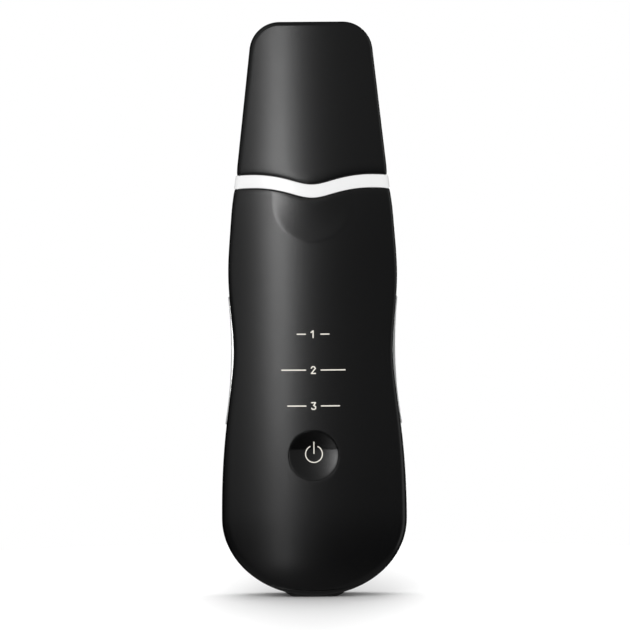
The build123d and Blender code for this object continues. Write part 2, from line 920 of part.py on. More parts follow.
with BuildPart() as rear_piezo_ring:
    with BuildSketch(Plane.XY.offset(rear_piezo_low)):
        Circle(stack_radius)
        Circle(bolt_radius + rest_gap, mode=Mode.SUBTRACT)
    extrude(amount=piezo_thickness)
rear_piezo_ring.part.label = "rear_piezo_ring"
export_step(rear_piezo_ring.part, "parts/rear_piezo_ring.step")

# Two thin electrode washers, each with a solder tab to its own side
with BuildPart() as piezo_electrodes:
    for side, level in ((-1, washer_high), (1, washer_low)):
        with BuildSketch(Plane.XY.offset(level)):
            Circle(stack_radius)
            with Locations((side * (stack_radius + tab_length) / 2, 0)):
                Rectangle(stack_radius + tab_length, tab_width)
            Circle(bolt_radius + rest_gap, mode=Mode.SUBTRACT)
        extrude(amount=washer_thickness)
piezo_electrodes.part.label = "piezo_electrodes"
export_step(piezo_electrodes.part, "parts/piezo_electrodes.step")

with BuildPart() as tail_mass:
    with BuildSketch(Plane.XY.offset(tail_low)):
        Circle(stack_radius)
        Circle(bolt_radius + rest_gap, mode=Mode.SUBTRACT)
    extrude(amount=tail_length)
    chamfer(tail_mass.edges().group_by(Axis.Z)[0].sort_by(SortBy.LENGTH)[-1], tail_chamfer)
tail_mass.part.label = "tail_mass"
export_step(tail_mass.part, "parts/tail_mass.step")

with BuildPart() as clamp_bolt:
    with BuildSketch(Plane.XY.offset(bolt_low)):
        Circle(bolt_head_radius)
    extrude(amount=bolt_head_height)
    with BuildSketch(Plane.XY.offset(tail_low)):
        Circle(bolt_radius)
    extrude(amount=horn_low + bolt_reach - tail_low)
    with BuildSketch(Plane.XY.offset(bolt_low)):
        RegularPolygon(bolt_socket, 6)
    extrude(amount=bolt_socket_depth, mode=Mode.SUBTRACT)
clamp_bolt.part.label = "clamp_bolt"
export_step(clamp_bolt.part, "parts/clamp_bolt.step")

# Soft grommet round the horn's flange, and the bracket that holds it between the shells
grommet_low = flange_low - grommet_edge
grommet_high = flange_low + flange_height + grommet_edge
with BuildPart() as horn_grommet:
    with BuildSketch(Plane.XZ):
        with BuildLine():
            Polyline(
                (stack_radius + fit_gap, grommet_low),
                (grommet_radius, grommet_low),
                (grommet_radius, grommet_high),
                (horn_neck_radius + fit_gap, grommet_high),
                (horn_neck_radius + fit_gap, flange_low + flange_height),
                (horn_flange_radius + fit_gap, flange_low + flange_height),
                (horn_flange_radius + fit_gap, flange_low),
                (stack_radius + fit_gap, flange_low),
                close=True,
            )
        make_face()
    revolve(axis=Axis.Z)
horn_grommet.part.label = "horn_grommet"
export_step(horn_grommet.part, "parts/horn_grommet.step")

with BuildPart() as transducer_bracket:
    with BuildSketch(Plane.XY.offset(grommet_low)):
        Circle(bracket_ring_radius)
        with Locations((0, tray_front)):
            Rectangle(2 * wing_reach, wing_depth, align=(Align.CENTER, Align.MIN))
    extrude(amount=grommet_high - grommet_low)
    with BuildSketch(at_y(tray_back)):
        with Locations(*upper_axes):
            Circle(arm_width / 2)
            Rectangle(
                arm_width, grommet_high - upper_screw_height, align=(Align.CENTER, Align.MIN)
            )
    extrude(amount=tray_thickness)
    with BuildSketch(Plane.XY.offset(grommet_low)):
        Circle(bracket_bore_radius)
    extrude(amount=grommet_high - grommet_low, mode=Mode.SUBTRACT)
    with BuildSketch(at_y(tray_back)):
        with Locations(*upper_axes):
            Circle(screw_diameter / 2 + fit_gap)
    extrude(amount=tray_thickness, mode=Mode.SUBTRACT)
transducer_bracket.part.label = "transducer_bracket"
export_step(transducer_bracket.part, "parts/transducer_bracket.step")

# Circuit board: a plate with a tab below for the charging socket
board_screw_axes = [
    (side * board_screw_x, height)
    for side in (-1, 1)
    for height in (board_screw_low, board_screw_high)
]
with BuildPart() as main_board:
    with BuildSketch(at_y(board_back)):
        with Locations((0, (board_low + board_high) / 2)):
            RectangleRounded(2 * board_half_width, board_high - board_low, board_corner)
        with Locations((0, (board_low + usb_mouth + board_tab_gap) / 2 + board_corner / 2)):
            Rectangle(board_tab_width, board_low - usb_mouth - board_tab_gap + board_corner)
        with Locations(*board_screw_axes):
            Circle(board_screw_diameter / 2 + fit_gap, mode=Mode.SUBTRACT)
    extrude(amount=board_thickness)
main_board.part.label = "main_board"
export_step(main_board.part, "parts/main_board.step")

# Tray: a plate behind the board, posts that carry it, and walls round the battery
wall_outer_x = battery_width / 2 + rest_gap + tray_wall
with BuildPart() as inner_tray:
    with BuildSketch(at_y(tray_back)):
        with Locations((0, (tray_low + board_high) / 2)):
            RectangleRounded(2 * wall_outer_x, board_high - tray_low, board_corner)
        with Locations(*lower_axes):
            Circle(arm_width / 2)
        with Locations((0, window_middle)):
            Rectangle(window_width, window_height, mode=Mode.SUBTRACT)
    extrude(amount=tray_thickness)
    with BuildSketch(at_y(tray_back)):
        with Locations((0, (battery_low + battery_high) / 2)):
            Rectangle(2 * wall_outer_x, battery_length + 2 * (rest_gap + tray_wall))
            Rectangle(
                battery_width + 2 * rest_gap, battery_length + 2 * rest_gap, mode=Mode.SUBTRACT
            )
        with Locations((0, battery_high)):
            Rectangle(window_width / 2, 4 * tray_wall, mode=Mode.SUBTRACT)
    extrude(amount=-tray_wall_height)
    with BuildSketch(at_y(tray_front)):
        with Locations(*board_screw_axes):
            Circle(post_diameter / 2)
    extrude(amount=post_height)
    with BuildSketch(at_y(tray_back)):
        with Locations(*lower_axes):
            Circle(screw_diameter / 2 + fit_gap)
    extrude(amount=tray_thickness, mode=Mode.SUBTRACT)
    with BuildSketch(at_y(tray_back - rest_gap)):
        with Locations(*board_screw_axes):
            Circle(board_screw_diameter / 2)
    extrude(amount=tray_thickness + post_height, mode=Mode.SUBTRACT)
    for side in (-1, 1):
        with BuildSketch(at_y(tray_back)):
            with Locations((side * lower_screw_x, lower_screw_height)):
                Circle(boss_diameter / 2 + rest_gap)
        extrude(amount=-tray_wall_height, mode=Mode.SUBTRACT)
inner_tray.part.label = "inner_tray"
export_step(inner_tray.part, "parts/inner_tray.step")

with BuildPart() as board_screws:
    with BuildSketch(at_y(tray_back - rest_gap)):
        with Locations(*board_screw_axes):
            Circle(board_screw_diameter / 2)
    extrude(amount=tray_back - rest_gap - board_front)
    with BuildSketch(at_y(board_front)):
        with Locations(*board_screw_axes):
            Circle(board_screw_head / 2)
    extrude(amount=board_screw_head_height)
    with BuildSketch(at_y(board_front - board_screw_head_height)):
        with Locations(*board_screw_axes):
            RegularPolygon(board_screw_socket, 6)
    extrude(amount=-board_screw_head_height / 2, mode=Mode.SUBTRACT)
board_screws.part.label = "board_screws"
export_step(board_screws.part, "parts/board_screws.step")

# Battery cell and the foam that presses it to the tray
with BuildPart() as battery_cell:
    with BuildSketch(at_y(tray_back + fit_gap)):
        with Locations((0, (battery_low + battery_high) / 2)):
            Rectangle(battery_width, battery_length)
    extrude(amount=-battery_thickness)
    fillet(battery_cell.edges().filter_by(Axis.Z), battery_edge)
battery_cell.part.label = "battery_cell"
export_step(battery_cell.part, "parts/battery_cell.step")

with BuildPart() as battery_pad:
    with BuildSketch(at_y(tray_back + fit_gap + battery_thickness)):
        with Locations((0, (battery_low + battery_high) / 2)):
            Rectangle(battery_width - pad_margin, battery_length - pad_margin)
    extrude(amount=-bulb_width)
    add(form(collar_inset), mode=Mode.INTERSECT)
battery_pad.part.label = "battery_pad"
export_step(battery_pad.part, "parts/battery_pad.step")

# Charging socket on the board's tab, and the contact tongue inside it
with BuildPart() as usb_socket:
    with BuildSketch(Plane.XY.offset(usb_mouth)):
        with Locations((0, port_y)):
            RectangleRounded(usb_width, usb_height, usb_height * round_ratio)
    extrude(amount=usb_length)
    with BuildSketch(Plane.XY.offset(usb_mouth)):
        with Locations((0, port_y)):
            RectangleRounded(
                usb_width - 2 * usb_shell, usb_height - 2 * usb_shell, usb_height * round_ratio - usb_shell
            )
    extrude(amount=usb_length - 2 * usb_shell, mode=Mode.SUBTRACT)
usb_socket.part.label = "usb_socket"
export_step(usb_socket.part, "parts/usb_socket.step")

with BuildPart() as usb_tongue:
    with BuildSketch(Plane.XY.offset(usb_mouth + usb_shell)):
        with Locations((0, port_y)):
            Rectangle(usb_tongue_width, usb_tongue_depth)
    extrude(amount=usb_length - 3 * usb_shell)
usb_tongue.part.label = "usb_tongue"
export_step(usb_tongue.part, "parts/usb_tongue.step")

# Tact switch on the board, its plunger, and the button that presses it
switch_front = board_front - switch_height
with BuildPart() as tact_switch:
    with BuildSketch(at_y(board_front)):
        with Locations((0, button_height)):
            Rectangle(switch_width, switch_width)
    extrude(amount=switch_height)
    with BuildSketch(at_y(switch_front)):
        with Locations((0, button_height)):
            Circle(plunger_diameter / 2 + fit_gap)
    extrude(amount=-(plunger_height + 2 * button_travel), mode=Mode.SUBTRACT)
tact_switch.part.label = "tact_switch"
export_step(tact_switch.part, "parts/tact_switch.step")

with BuildPart() as switch_plunger:
    with BuildSketch(at_y(switch_front + plunger_height)):
        with Locations((0, button_height)):
            Circle(plunger_diameter / 2)
    extrude(amount=2 * plunger_height)
switch_plunger.part.label = "switch_plunger"
export_step(switch_plunger.part, "parts/switch_plunger.step")

flange_front = surface_y(shell_wall, button_flange / 2, button_height) + fit_gap
dish_rim = button_diameter / 2 - dish_land
dish_sphere = (dish_rim**2 + dish_depth**2) / (2 * dish_depth)
dish_floor = button_front + dish_depth
with BuildPart() as button_body:
    with BuildSketch(at_y(flange_front + flange_thickness)):
        with Locations((0, button_height)):
            Circle(button_flange / 2)
    extrude(amount=flange_thickness)
    with BuildSketch(at_y(flange_front)):
        with Locations((0, button_height)):
            Circle(button_diameter / 2)
    extrude(amount=bulb_width)
    add(form(0), mode=Mode.INTERSECT)
    with BuildSketch(at_y(switch_front - plunger_height - fit_gap)):
        with Locations((0, button_height)):
            Circle(stem_diameter / 2)
    extrude(amount=switch_front - plunger_height - fit_gap - flange_front)
    with Locations((0, dish_floor - dish_sphere, button_height)):
        Sphere(dish_sphere, mode=Mode.SUBTRACT)

# The light inlay of the button: an open ring with a bar through its gap
with BuildPart() as power_icon:
    with BuildSketch(Plane.XZ):
        with Locations((0, button_height)):
            Circle(icon_diameter / 2)
            Circle(icon_diameter / 2 - icon_stroke, mode=Mode.SUBTRACT)
            with BuildLine(mode=Mode.PRIVATE) as wedge:
                Polyline(
                    (0, button_height),
                    (-icon_diameter * math.tan(math.radians(icon_gap_angle)), button_height + icon_diameter),
                    (icon_diameter * math.tan(math.radians(icon_gap_angle)), button_height + icon_diameter),
                    close=True,
                )
            make_face(wedge.edges(), mode=Mode.SUBTRACT)
        with Locations((0, button_height + icon_bar / 2)):
            SlotOverall(icon_bar, icon_stroke, rotation=90)
    extrude(amount=bulb_width)
    add(button_body.part, mode=Mode.INTERSECT)
    with BuildSketch(at_y(dish_floor + icon_depth)):
        with Locations((0, button_height)):
            Circle(button_diameter)
    extrude(amount=bulb_width, mode=Mode.INTERSECT)
power_icon.part.label = "power_icon"
export_step(power_icon.part, "parts/power_icon.step")

with BuildPart() as power_button:
    add(button_body.part)
    add(power_icon.part, mode=Mode.SUBTRACT)
power_button.part.label = "power_button"
export_step(power_button.part, "parts/power_button.step")

# Lights behind the legends and the button, and the box that parts their light
legend_middle = legend_top - legend_pitch
legend_places = [(0, legend_top - row * legend_pitch) for row in range(len(digits))]
led_places = legend_places + [(switch_width / 2 + led_length, button_height)]
with BuildPart() as indicator_leds:
    with BuildSketch(at_y(board_front)):
        with Locations(*led_places):
            Rectangle(led_length, led_width)
    extrude(amount=led_height)
indicator_leds.part.label = "indicator_leds"
export_step(indicator_leds.part, "parts/indicator_leds.step")

box_front = surface_y(shell_wall, light_box_width / 2, legend_top + legend_pitch / 2) + rest_gap
with BuildPart() as light_box:
    with BuildSketch(at_y(board_front)):
        with Locations((0, legend_middle)):
            Rectangle(light_box_width, len(digits) * legend_pitch - light_box_wall)
        with Locations(*legend_places):
            Rectangle(
                light_box_width - 2 * light_box_wall,
                legend_pitch - 2 * light_box_wall,
                mode=Mode.SUBTRACT,
            )
    extrude(amount=board_front - box_front)
light_box.part.label = "light_box"
export_step(light_box.part, "parts/light_box.step")

# Parts soldered to the front of the board, below the switch
with BuildPart() as boost_transformer:
    with BuildSketch(at_y(board_front)):
        with Locations((transformer_x, transformer_height)):
            Rectangle(transformer_width, transformer_length)
    extrude(amount=transformer_flange)
    with BuildSketch(at_y(board_front - transformer_flange)):
        with Locations((transformer_x, transformer_height)):
            Circle(winding_radius)
    extrude(amount=winding_length)
    with BuildSketch(at_y(board_front - transformer_flange - winding_length)):
        with Locations((transformer_x, transformer_height)):
            Rectangle(transformer_width, transformer_length)
    extrude(amount=transformer_flange)
boost_transformer.part.label = "boost_transformer"
export_step(boost_transformer.part, "parts/boost_transformer.step")

with BuildPart() as filter_inductor:
    with BuildSketch(at_y(board_front)):
        with Locations((inductor_x, transformer_height)):
            RectangleRounded(inductor_width, inductor_width, inductor_corner)
    extrude(amount=inductor_depth)
filter_inductor.part.label = "filter_inductor"
export_step(filter_inductor.part, "parts/filter_inductor.step")

with BuildPart() as capacitors:
    with BuildSketch(at_y(board_front)):
        with Locations(*[(side * capacitor_x, capacitor_height) for side in (-1, 1)]):
            Circle(capacitor_diameter / 2)
    extrude(amount=capacitor_length)
    fillet(capacitors.edges().group_by(Axis.Y)[0], capacitor_edge)
capacitors.part.label = "capacitors"
export_step(capacitors.part, "parts/capacitors.step")

with BuildPart() as controller_chip:
    with BuildSketch(at_y(board_front)):
        with Locations((0, chip_height)):
            Rectangle(chip_width, chip_width)
    extrude(amount=chip_thickness)
controller_chip.part.label = "controller_chip"
export_step(controller_chip.part, "parts/controller_chip.step")

with BuildPart() as driver_transistors:
    with BuildSketch(at_y(board_front)):
        with Locations(*[(side * transistor_x, button_height) for side in (-1, 1)]):
            Rectangle(transistor_width, transistor_length)
    extrude(amount=transistor_depth)
driver_transistors.part.label = "driver_transistors"
export_step(driver_transistors.part, "parts/driver_transistors.step")

with BuildPart() as battery_connector:
    with BuildSketch(at_y(board_back)):
        with Locations((0, connector_height)):
            Rectangle(connector_width, connector_length)
    extrude(amount=-connector_depth)
battery_connector.part.label = "battery_connector"
export_step(battery_connector.part, "parts/battery_connector.step")


def lead(points, diameter):
    """A round wire along straight runs joined by arcs as large as the runs allow."""
    radii = []
    for before, corner, after in zip(points, points[1:], points[2:]):
        run_in, run_out = Vector(*corner) - Vector(*before), Vector(*after) - Vector(*corner)
        turn = math.radians(run_in.get_angle(run_out))
        radii.append(lead_bend * min(run_in.length, run_out.length) / math.tan(turn / 2))
    print("lead radii", [round(radius, 2) for radius in radii])
    with BuildPart() as wire:
        with BuildLine():
            path = FilletPolyline(*points, radius=radii)
        with BuildSketch(Plane(origin=path @ 0, z_dir=path % 0)):
            Circle(diameter / 2)
        sweep(path=path)
    return wire.part


# Battery leads, through the tray's window to the connector
connector_low = connector_height - connector_length / 2
lead_y = board_back + connector_depth / 2
cell_y = tray_back + fit_gap + battery_thickness / 2
with BuildPart() as battery_leads:
    for side in (-1, 1):
        route = [
            (side * lead_spread, cell_y, battery_high),
            (side * lead_spread, cell_y, battery_high + lead_rise),
            (side * lead_spread / 2, lead_y, connector_low - lead_rise),
            (side * lead_spread / 2, lead_y, connector_low),
        ]
        add(lead(route, lead_diameter))
battery_leads.part.label = "battery_leads"
export_step(battery_leads.part, "parts/battery_leads.step")

# Transducer leads, from the washers' tabs down to the back of the board
pad_y = board_back + lead_diameter / 2
tab_end = stack_radius + tab_length - lead_diameter / 2
with BuildPart() as transducer_leads:
    for side, level in ((-1, washer_high), (1, washer_low)):
        route = [
            (side * tab_end, 0, level),
            (side * tab_end, 0, (level + tail_low) / 2),
            (side * pad_x, pad_y, board_high + pad_rise),
            (side * pad_x, pad_y, board_high - pad_rise),
        ]
        add(lead(route, lead_diameter))
transducer_leads.part.label = "transducer_leads"
export_step(transducer_leads.part, "parts/transducer_leads.step")

# Leaf springs from the board to the studs of the side electrodes
spring_x = stud_end - fit_gap
with BuildPart() as electrode_springs:
    for side in (-1, 1):
        with BuildSketch(Plane.XY.offset(waist_height - spring_width / 2)):
            with BuildLine():
                Polyline(
                    (side * (board_half_width - spring_foot), board_front),
                    (side * (board_half_width - spring_foot), board_front - spring_thickness),
                    (side * spring_x, board_front - spring_thickness),
                    (side * spring_x, stud_y + stud_diameter / 2),
                    (side * (spring_x - spring_thickness), stud_y + stud_diameter / 2),
                    (side * (spring_x - spring_thickness), board_front),
                    close=True,
                )
            make_face()
        extrude(amount=spring_width)
electrode_springs.part.label = "electrode_springs"
export_step(electrode_springs.part, "parts/electrode_springs.step")
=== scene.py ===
"""Builds the looks of a hand-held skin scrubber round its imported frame: the handle's two shells,
the band, the cap, the dished button with its light, the legends, the side strips, and a studio."""

import json
import math

import bpy
import numpy as np
from bpy.props import FloatProperty, FloatVectorProperty, PointerProperty
from bpy.types import Operator, Panel, PropertyGroup
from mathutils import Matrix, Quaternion, Vector


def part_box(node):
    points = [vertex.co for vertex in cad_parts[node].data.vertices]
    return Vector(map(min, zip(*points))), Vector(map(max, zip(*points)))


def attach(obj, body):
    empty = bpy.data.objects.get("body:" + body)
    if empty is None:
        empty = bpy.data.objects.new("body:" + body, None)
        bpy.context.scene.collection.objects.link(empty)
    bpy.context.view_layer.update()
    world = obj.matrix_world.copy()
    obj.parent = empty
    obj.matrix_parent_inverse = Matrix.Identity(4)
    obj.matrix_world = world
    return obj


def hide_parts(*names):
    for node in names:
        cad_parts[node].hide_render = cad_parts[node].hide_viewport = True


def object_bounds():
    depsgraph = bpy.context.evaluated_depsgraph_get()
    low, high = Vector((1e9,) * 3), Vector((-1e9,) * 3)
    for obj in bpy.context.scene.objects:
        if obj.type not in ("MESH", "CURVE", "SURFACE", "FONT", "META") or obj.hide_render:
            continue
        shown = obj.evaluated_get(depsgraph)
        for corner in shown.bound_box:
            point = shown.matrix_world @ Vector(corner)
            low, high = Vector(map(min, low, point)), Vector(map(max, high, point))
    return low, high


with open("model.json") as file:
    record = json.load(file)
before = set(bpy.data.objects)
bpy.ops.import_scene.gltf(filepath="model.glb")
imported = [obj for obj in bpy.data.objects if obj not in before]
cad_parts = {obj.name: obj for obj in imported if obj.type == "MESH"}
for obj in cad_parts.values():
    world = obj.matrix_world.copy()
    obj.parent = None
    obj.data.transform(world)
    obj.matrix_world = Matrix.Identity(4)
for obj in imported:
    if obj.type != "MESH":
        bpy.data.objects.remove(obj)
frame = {"nodes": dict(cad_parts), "record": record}
cad_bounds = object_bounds()

bl_info = {
    "name": "Skin scrubber",
    "version": (1, 0, 0),
    "blender": (4, 5, 0),
    "location": "3D View > Sidebar > Scrubber",
    "description": "Builds the visible pieces of a hand-held skin scrubber and its studio",
    "category": "Object",
}

MM = 0.001
FRONT, BACK = -1, 1
JOINED = 4000  # points that are equal when rounded to 1 / 4000 of a millimetre become one
FINE_HALF = 13.0  # the columns of a face are evenly fine this far from its middle, in millimetres
TUBE_NET = 26, 14, 16  # a quarter tube's columns as far as that, beyond it and round the edge
MID_WALL = 1.5  # how far round an edge the middle of the side wall lies, see edge_points
HIGH = np.array(cad_bounds[1]) / MM
SLOT_OF = {part["node"]: part["material_slot"] for part in frame["record"]["subparts"]}


# ---- Sizes that a user would change


def number(label, text, value, **others):
    """A property that isn't negative."""
    return FloatProperty(name=label, description=text, default=float(value), min=0.0, **others)


def in_mm(label, text, value):
    """A size property in millimetres."""
    return number(label, text + ", mm", value)


def tint(label, text, value):
    """A colour property."""
    return FloatVectorProperty(
        name=label, description=text, subtype="COLOR", size=3, default=value, min=0.0, max=1.0)


# Places up the side, from the bulb to the band: name, where it is, height and half width in mm
PLACES = (
    ("bulb", "at the widest", 23.0, HIGH[0]),
    ("hip", "at the hip", 46.0, 25.98),
    ("flank", "over the hip", 60.0, 24.27),
    ("waist", "at the waist", 72.3, 23.25),
    ("rib", "over the waist", 84.0, 24.06),
    ("shoulder", "at the shoulder", 94.5, 24.66),
    ("throat", "over the shoulder", 108.0, 23.91),
    ("nape", "under the band", 116.0, 23.15),
    ("neck", "at the band", 123.0, 22.1),
)


class FormSizes(PropertyGroup):
    """The outer form of the handle and its cap. Each place has a height and a half width."""

    sole_height: in_mm("Sole height", "Height of the shells' lowest point", 0.2)
    tip_radius: in_mm("Tip radius", "Radius of the cap's two corners", 8.8)
    top: in_mm("Top", "Height of the cap's top", HIGH[2])
    front_crown: in_mm("Front crown", "Radius of the front face's crown", 100.0)
    back_crown: in_mm("Back crown", "Radius of the back face's crown", 75.0)
    edge: in_mm("Edge radius", "Rounding between the faces and the sides", 1.2)
    bulb_edge: in_mm("Bulb edge radius", "The same rounding on the bulb", 2.4)
    cap_wall: in_mm("Cap wall", "Thickness of the cap's wall", 1.8)


for place, where, height, half in (*PLACES, ("tip", "near the cap's tip", 160.2, 17.95)):
    FormSizes.__annotations__.update({
        place + "_height": in_mm(f"{place.title()} height", f"Height {where}", height),
        place + "_half": in_mm(f"{place.title()} half width", f"Half the width {where}", half)})


class DetailSizes(PropertyGroup):
    """Band, waves, scoop, button, lights and strips."""

    band_drop: in_mm("Band drop", "How far the band starts under the neck's height", 3.5)
    band_height: in_mm("Band height", "Height of the band", 3.9)
    band_proud: in_mm("Band proud", "How far the band stands out", 0.15)
    band_gap: in_mm("Band gap", "Gap between the band and its neighbours", 0.13)
    wave_dip: in_mm("Wave dip", "How far the line dips in the middle", 2.84)
    scoop_radius: in_mm("Scoop radius", "Radius of the thumb scoop's rim", 12.0)
    scoop_depth: in_mm("Scoop depth", "Depth of the thumb scoop at its low end", 0.32)
    scoop_height: in_mm("Scoop height", "Height of the scoop's middle", 115.4)
    scoop_end: in_mm("Scoop end", "Height at which the scoop runs out", 122.0)
    scoop_crease: number(
        "Scoop crease", "Angle of the crease round it", math.radians(2.6), subtype="ANGLE")
    button_radius: in_mm("Button radius", "Radius of the button", 7.3)
    button_height: in_mm("Button height", "Height of the button's middle", 41.6)
    button_gap: in_mm("Button gap", "Gap round the button", 0.04)
    dish_radius: in_mm("Dish radius", "Radius of the button's dish", 7.2)
    dish_step: in_mm("Dish step", "How far the button's rim lies under the face", 0.1)
    dish_depth: in_mm("Dish depth", "Depth of the button's dish", 0.62)
    fold_height: in_mm("Fold height", "Height of the dish's fold over its middle", 1.9)
    fold_depth: in_mm("Fold depth", "How far the dish falls back to its fold", 0.75)
    icon_rise: in_mm("Icon rise", "Height of the light ring over the button's middle", 0.45)
    icon_radius: in_mm("Icon radius", "Outer radius of the light ring", 2.6)
    icon_stroke: in_mm("Icon stroke", "Width of the icon's strokes", 0.3)
    icon_bar: in_mm("Icon bar", "Length of the icon's bar", 3.6)
    icon_gap: number(
        "Icon gap", "Half the angle of the ring's gap", math.radians(25.0), subtype="ANGLE")
    legend_top: in_mm("Legend height", "Height of the uppermost legend", 77.0)
    legend_pitch: in_mm("Legend pitch", "Distance between legends", 10.45)
    legend_size: in_mm("Legend size", "Height of a figure", 2.3)
    legend_stroke: in_mm("Legend stroke", "Width of a figure's stroke", 0.36)
    strip_low: in_mm("Strip low end", "Height of the side strips' low end", 50.3)
    strip_high: in_mm("Strip high end", "Height of the side strips' high end", 87.8)
    strip_width: in_mm("Strip width", "Width of the side strips", 6.6)
    parting_gap: in_mm("Parting gap", "Gap between the two shells", 0.2)


class FinishSettings(PropertyGroup):
    """Colours and gloss of what shows most."""

    black: tint("Satin black", "Colour of the handle and cap", (0.0024, 0.0025, 0.0027))
    black_roughness: number(
        "Satin roughness", "Roughness of the handle and cap", 0.265, subtype="FACTOR", max=1.0)
    polish: number(
        "Scoop polish", "How much less rough the scoop is", 0.05, subtype="FACTOR", max=1.0)
    white: tint("Band white", "Colour of the band", (0.95, 0.95, 0.95))
    inlay: tint("Light inlay", "Colour of the lit marks", (0.86, 0.82, 0.74))
    dome: number("Dome", "Brightness of the light from all round, 1 is white", 0.55)
    room_front: number("Room in front", "Brightness that gloss shows in front", 0.20)
    room_left: number("Room at the left", "What its left side adds to that", 0.25)
    room_low: number("Room below", "Brightness under the table's level", 0.03)
    room_behind: number("Room behind", "Brightness straight behind", 0.15)
    room_table: number("Table", "Brightness straight below", 0.12)


class Sizes:
    """Every size of the form and of the details by its name, as the scene has it."""

    def __getattr__(self, name):
        scene = bpy.context.scene
        in_form = name in FormSizes.__annotations__
        return getattr(scene.scrubber_form if in_form else scene.scrubber_detail, name)


size = Sizes()


# ---- Formulas of the form


def spline(knots, values, at, start=None, end=None):
    """A cubic spline through values at knots, with given end slopes, or straight ends (natural)."""
    knots, values, at = (np.asarray(part, float) for part in (knots, values, at))
    step, count = np.diff(knots), len(knots)
    matrix, right = np.zeros((count, count)), np.zeros(count)
    slopes = np.diff(values) / step
    inner = np.arange(1, count - 1)
    matrix[inner, inner - 1], matrix[inner, inner + 1] = step[:-1], step[1:]
    matrix[inner, inner] = 2 * (step[:-1] + step[1:])
    right[1:-1] = 6 * np.diff(slopes)
    matrix[0, 0] = matrix[-1, -1] = 1
    if start is not None:
        matrix[0, :2], right[0] = (2 * step[0], step[0]), 6 * (slopes[0] - start)
    if end is not None:
        matrix[-1, -2:], right[-1] = (step[-1], 2 * step[-1]), 6 * (end - slopes[-1])
    bend = np.linalg.solve(matrix, right)
    at = np.clip(at, knots[0], knots[-1])
    k = np.clip(np.searchsorted(knots, at) - 1, 0, count - 2)
    a, b = (knots[k + 1] - at) / step[k], (at - knots[k]) / step[k]
    return (a * values[k] + b * values[k + 1]
            + ((a**3 - a) * bend[k] + (b**3 - b) * bend[k + 1]) * step[k] ** 2 / 6)


def smooth(value):
    """0 below 0, 1 above 1, and a soft S between them."""
    value = np.clip(value, 0, 1)
    return value * value * (3 - 2 * value)


def taper():
    """Change of the cap's half width for each millimetre upwards."""
    return (size.tip_half - size.neck_half) / (size.tip_height - size.neck_height)


def half_width(z):
    """Half the outline's width over the bulb: a spline, then the cap's straight taper."""
    heights, halves = ([getattr(size, place[0] + kind) for place in PLACES]
                       for kind in ("_height", "_half"))
    side = spline(heights, halves, z, start=0.0, end=taper())
    cap = size.neck_half + taper() * (z - size.neck_height)
    return np.where(z > size.neck_height, cap, side)


def depth(face, x, z):
    """How far a face stands from the middle plane: a spline up the handle less an arc's crown."""
    bulb, neck = size.bulb_height, size.neck_height
    heights = [bulb - 26, bulb - 13, bulb + 5, size.waist_height, size.shoulder_height + 2.5,
               neck - 1, neck + 27, size.top + 4]
    if face == FRONT:
        crown, depths = size.front_crown, [7.6, 11.4, 12.46, 11.15, 10.55, 9.75, 7.6, 5.8]
    else:
        crown, depths = size.back_crown, [7.6, 11.4, 12.46, 10.8, 10.8, 9.8, 7.8, 6.2]
    return spline(heights, depths, z) - (crown - np.sqrt(crown**2 - np.square(x)))


def wave(x):
    """The wavy line's height over its base: flat shoulders and a soft dip in the middle."""
    side, shoulder, flank = size.bulb_half, 15.5, 6.8
    dip, fall, slope = size.wave_dip, 0.7, 0.1
    return spline([-side, -shoulder, -flank, 0, flank, shoulder, side],
                  [-fall, 0, -dip / 2, -dip, -dip / 2, 0, -fall], x, start=slope, end=-slope)


def parting(z):
    """Y of the line between the shells: straight up the sides, running forwards at the foot."""
    heights, depths = [-1.25, 2.5, 7.0, 28.0], [-11.2, -8.7, -5.5, 0.0]
    return spline(heights, depths, z, start=1.0, end=0.0)


def scoop(x, z):
    """How far the thumb scoop lies under the front face: a U-shaped bowl that runs out upwards,
    with a crease round it inside which the face first swells a little."""
    radius, deep, fade = size.scoop_radius, size.scoop_depth, 1.1
    within = np.maximum(radius - np.hypot(x, np.minimum(z - size.scoop_height, 0)), 0)
    bowl = deep * (1 - (1 - within / radius) ** 2)
    swell = (math.tan(size.scoop_crease) + 2 * deep / radius) * within * np.exp(-within / fade)
    span = size.scoop_end - size.scoop_height + radius
    return (bowl - swell) * np.clip((size.scoop_end - z) / span, 0, 1)


# ---- Grids into meshes


def build(name, node, slot, points, grids, body="handle", crease=None):
    """A mesh object in millimetres from points and quads, in place of a node; equal points are
    joined and flat quads dropped."""
    keys = np.round(points * JOINED).astype(np.int64)
    _, first, where = np.unique(keys, axis=0, return_index=True, return_inverse=True)
    ring = where.ravel()[np.concatenate([grid.reshape(-1, 4) for grid in grids])]
    keep = ring != np.roll(ring, 1, axis=1)
    sound = keep.sum(axis=1) > 2
    ring, keep = ring[sound], keep[sound]
    used, corners = np.unique(ring[keep], return_inverse=True)
    starts = np.r_[0, np.cumsum(keep.sum(axis=1))[:-1]]
    mesh = bpy.data.meshes.new(name)
    mesh.vertices.add(len(used))
    mesh.vertices.foreach_set("co", (points[first][used] * MM).astype(np.float32).ravel())
    mesh.loops.add(len(corners))
    mesh.loops.foreach_set("vertex_index", corners.ravel().astype(np.int32))
    mesh.polygons.add(len(starts))
    mesh.polygons.foreach_set("loop_start", starts.astype(np.int32))
    mesh.update(calc_edges=True)
    mesh.validate()
    mesh.shade_smooth()
    if crease is not None:
        mesh.set_sharp_from_angle(angle=math.radians(crease))
    thing = bpy.data.objects.new(name, mesh)
    bpy.context.scene.collection.objects.link(thing)
    mesh.materials.append(finish_of(slot))
    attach(thing, body)
    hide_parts(node)


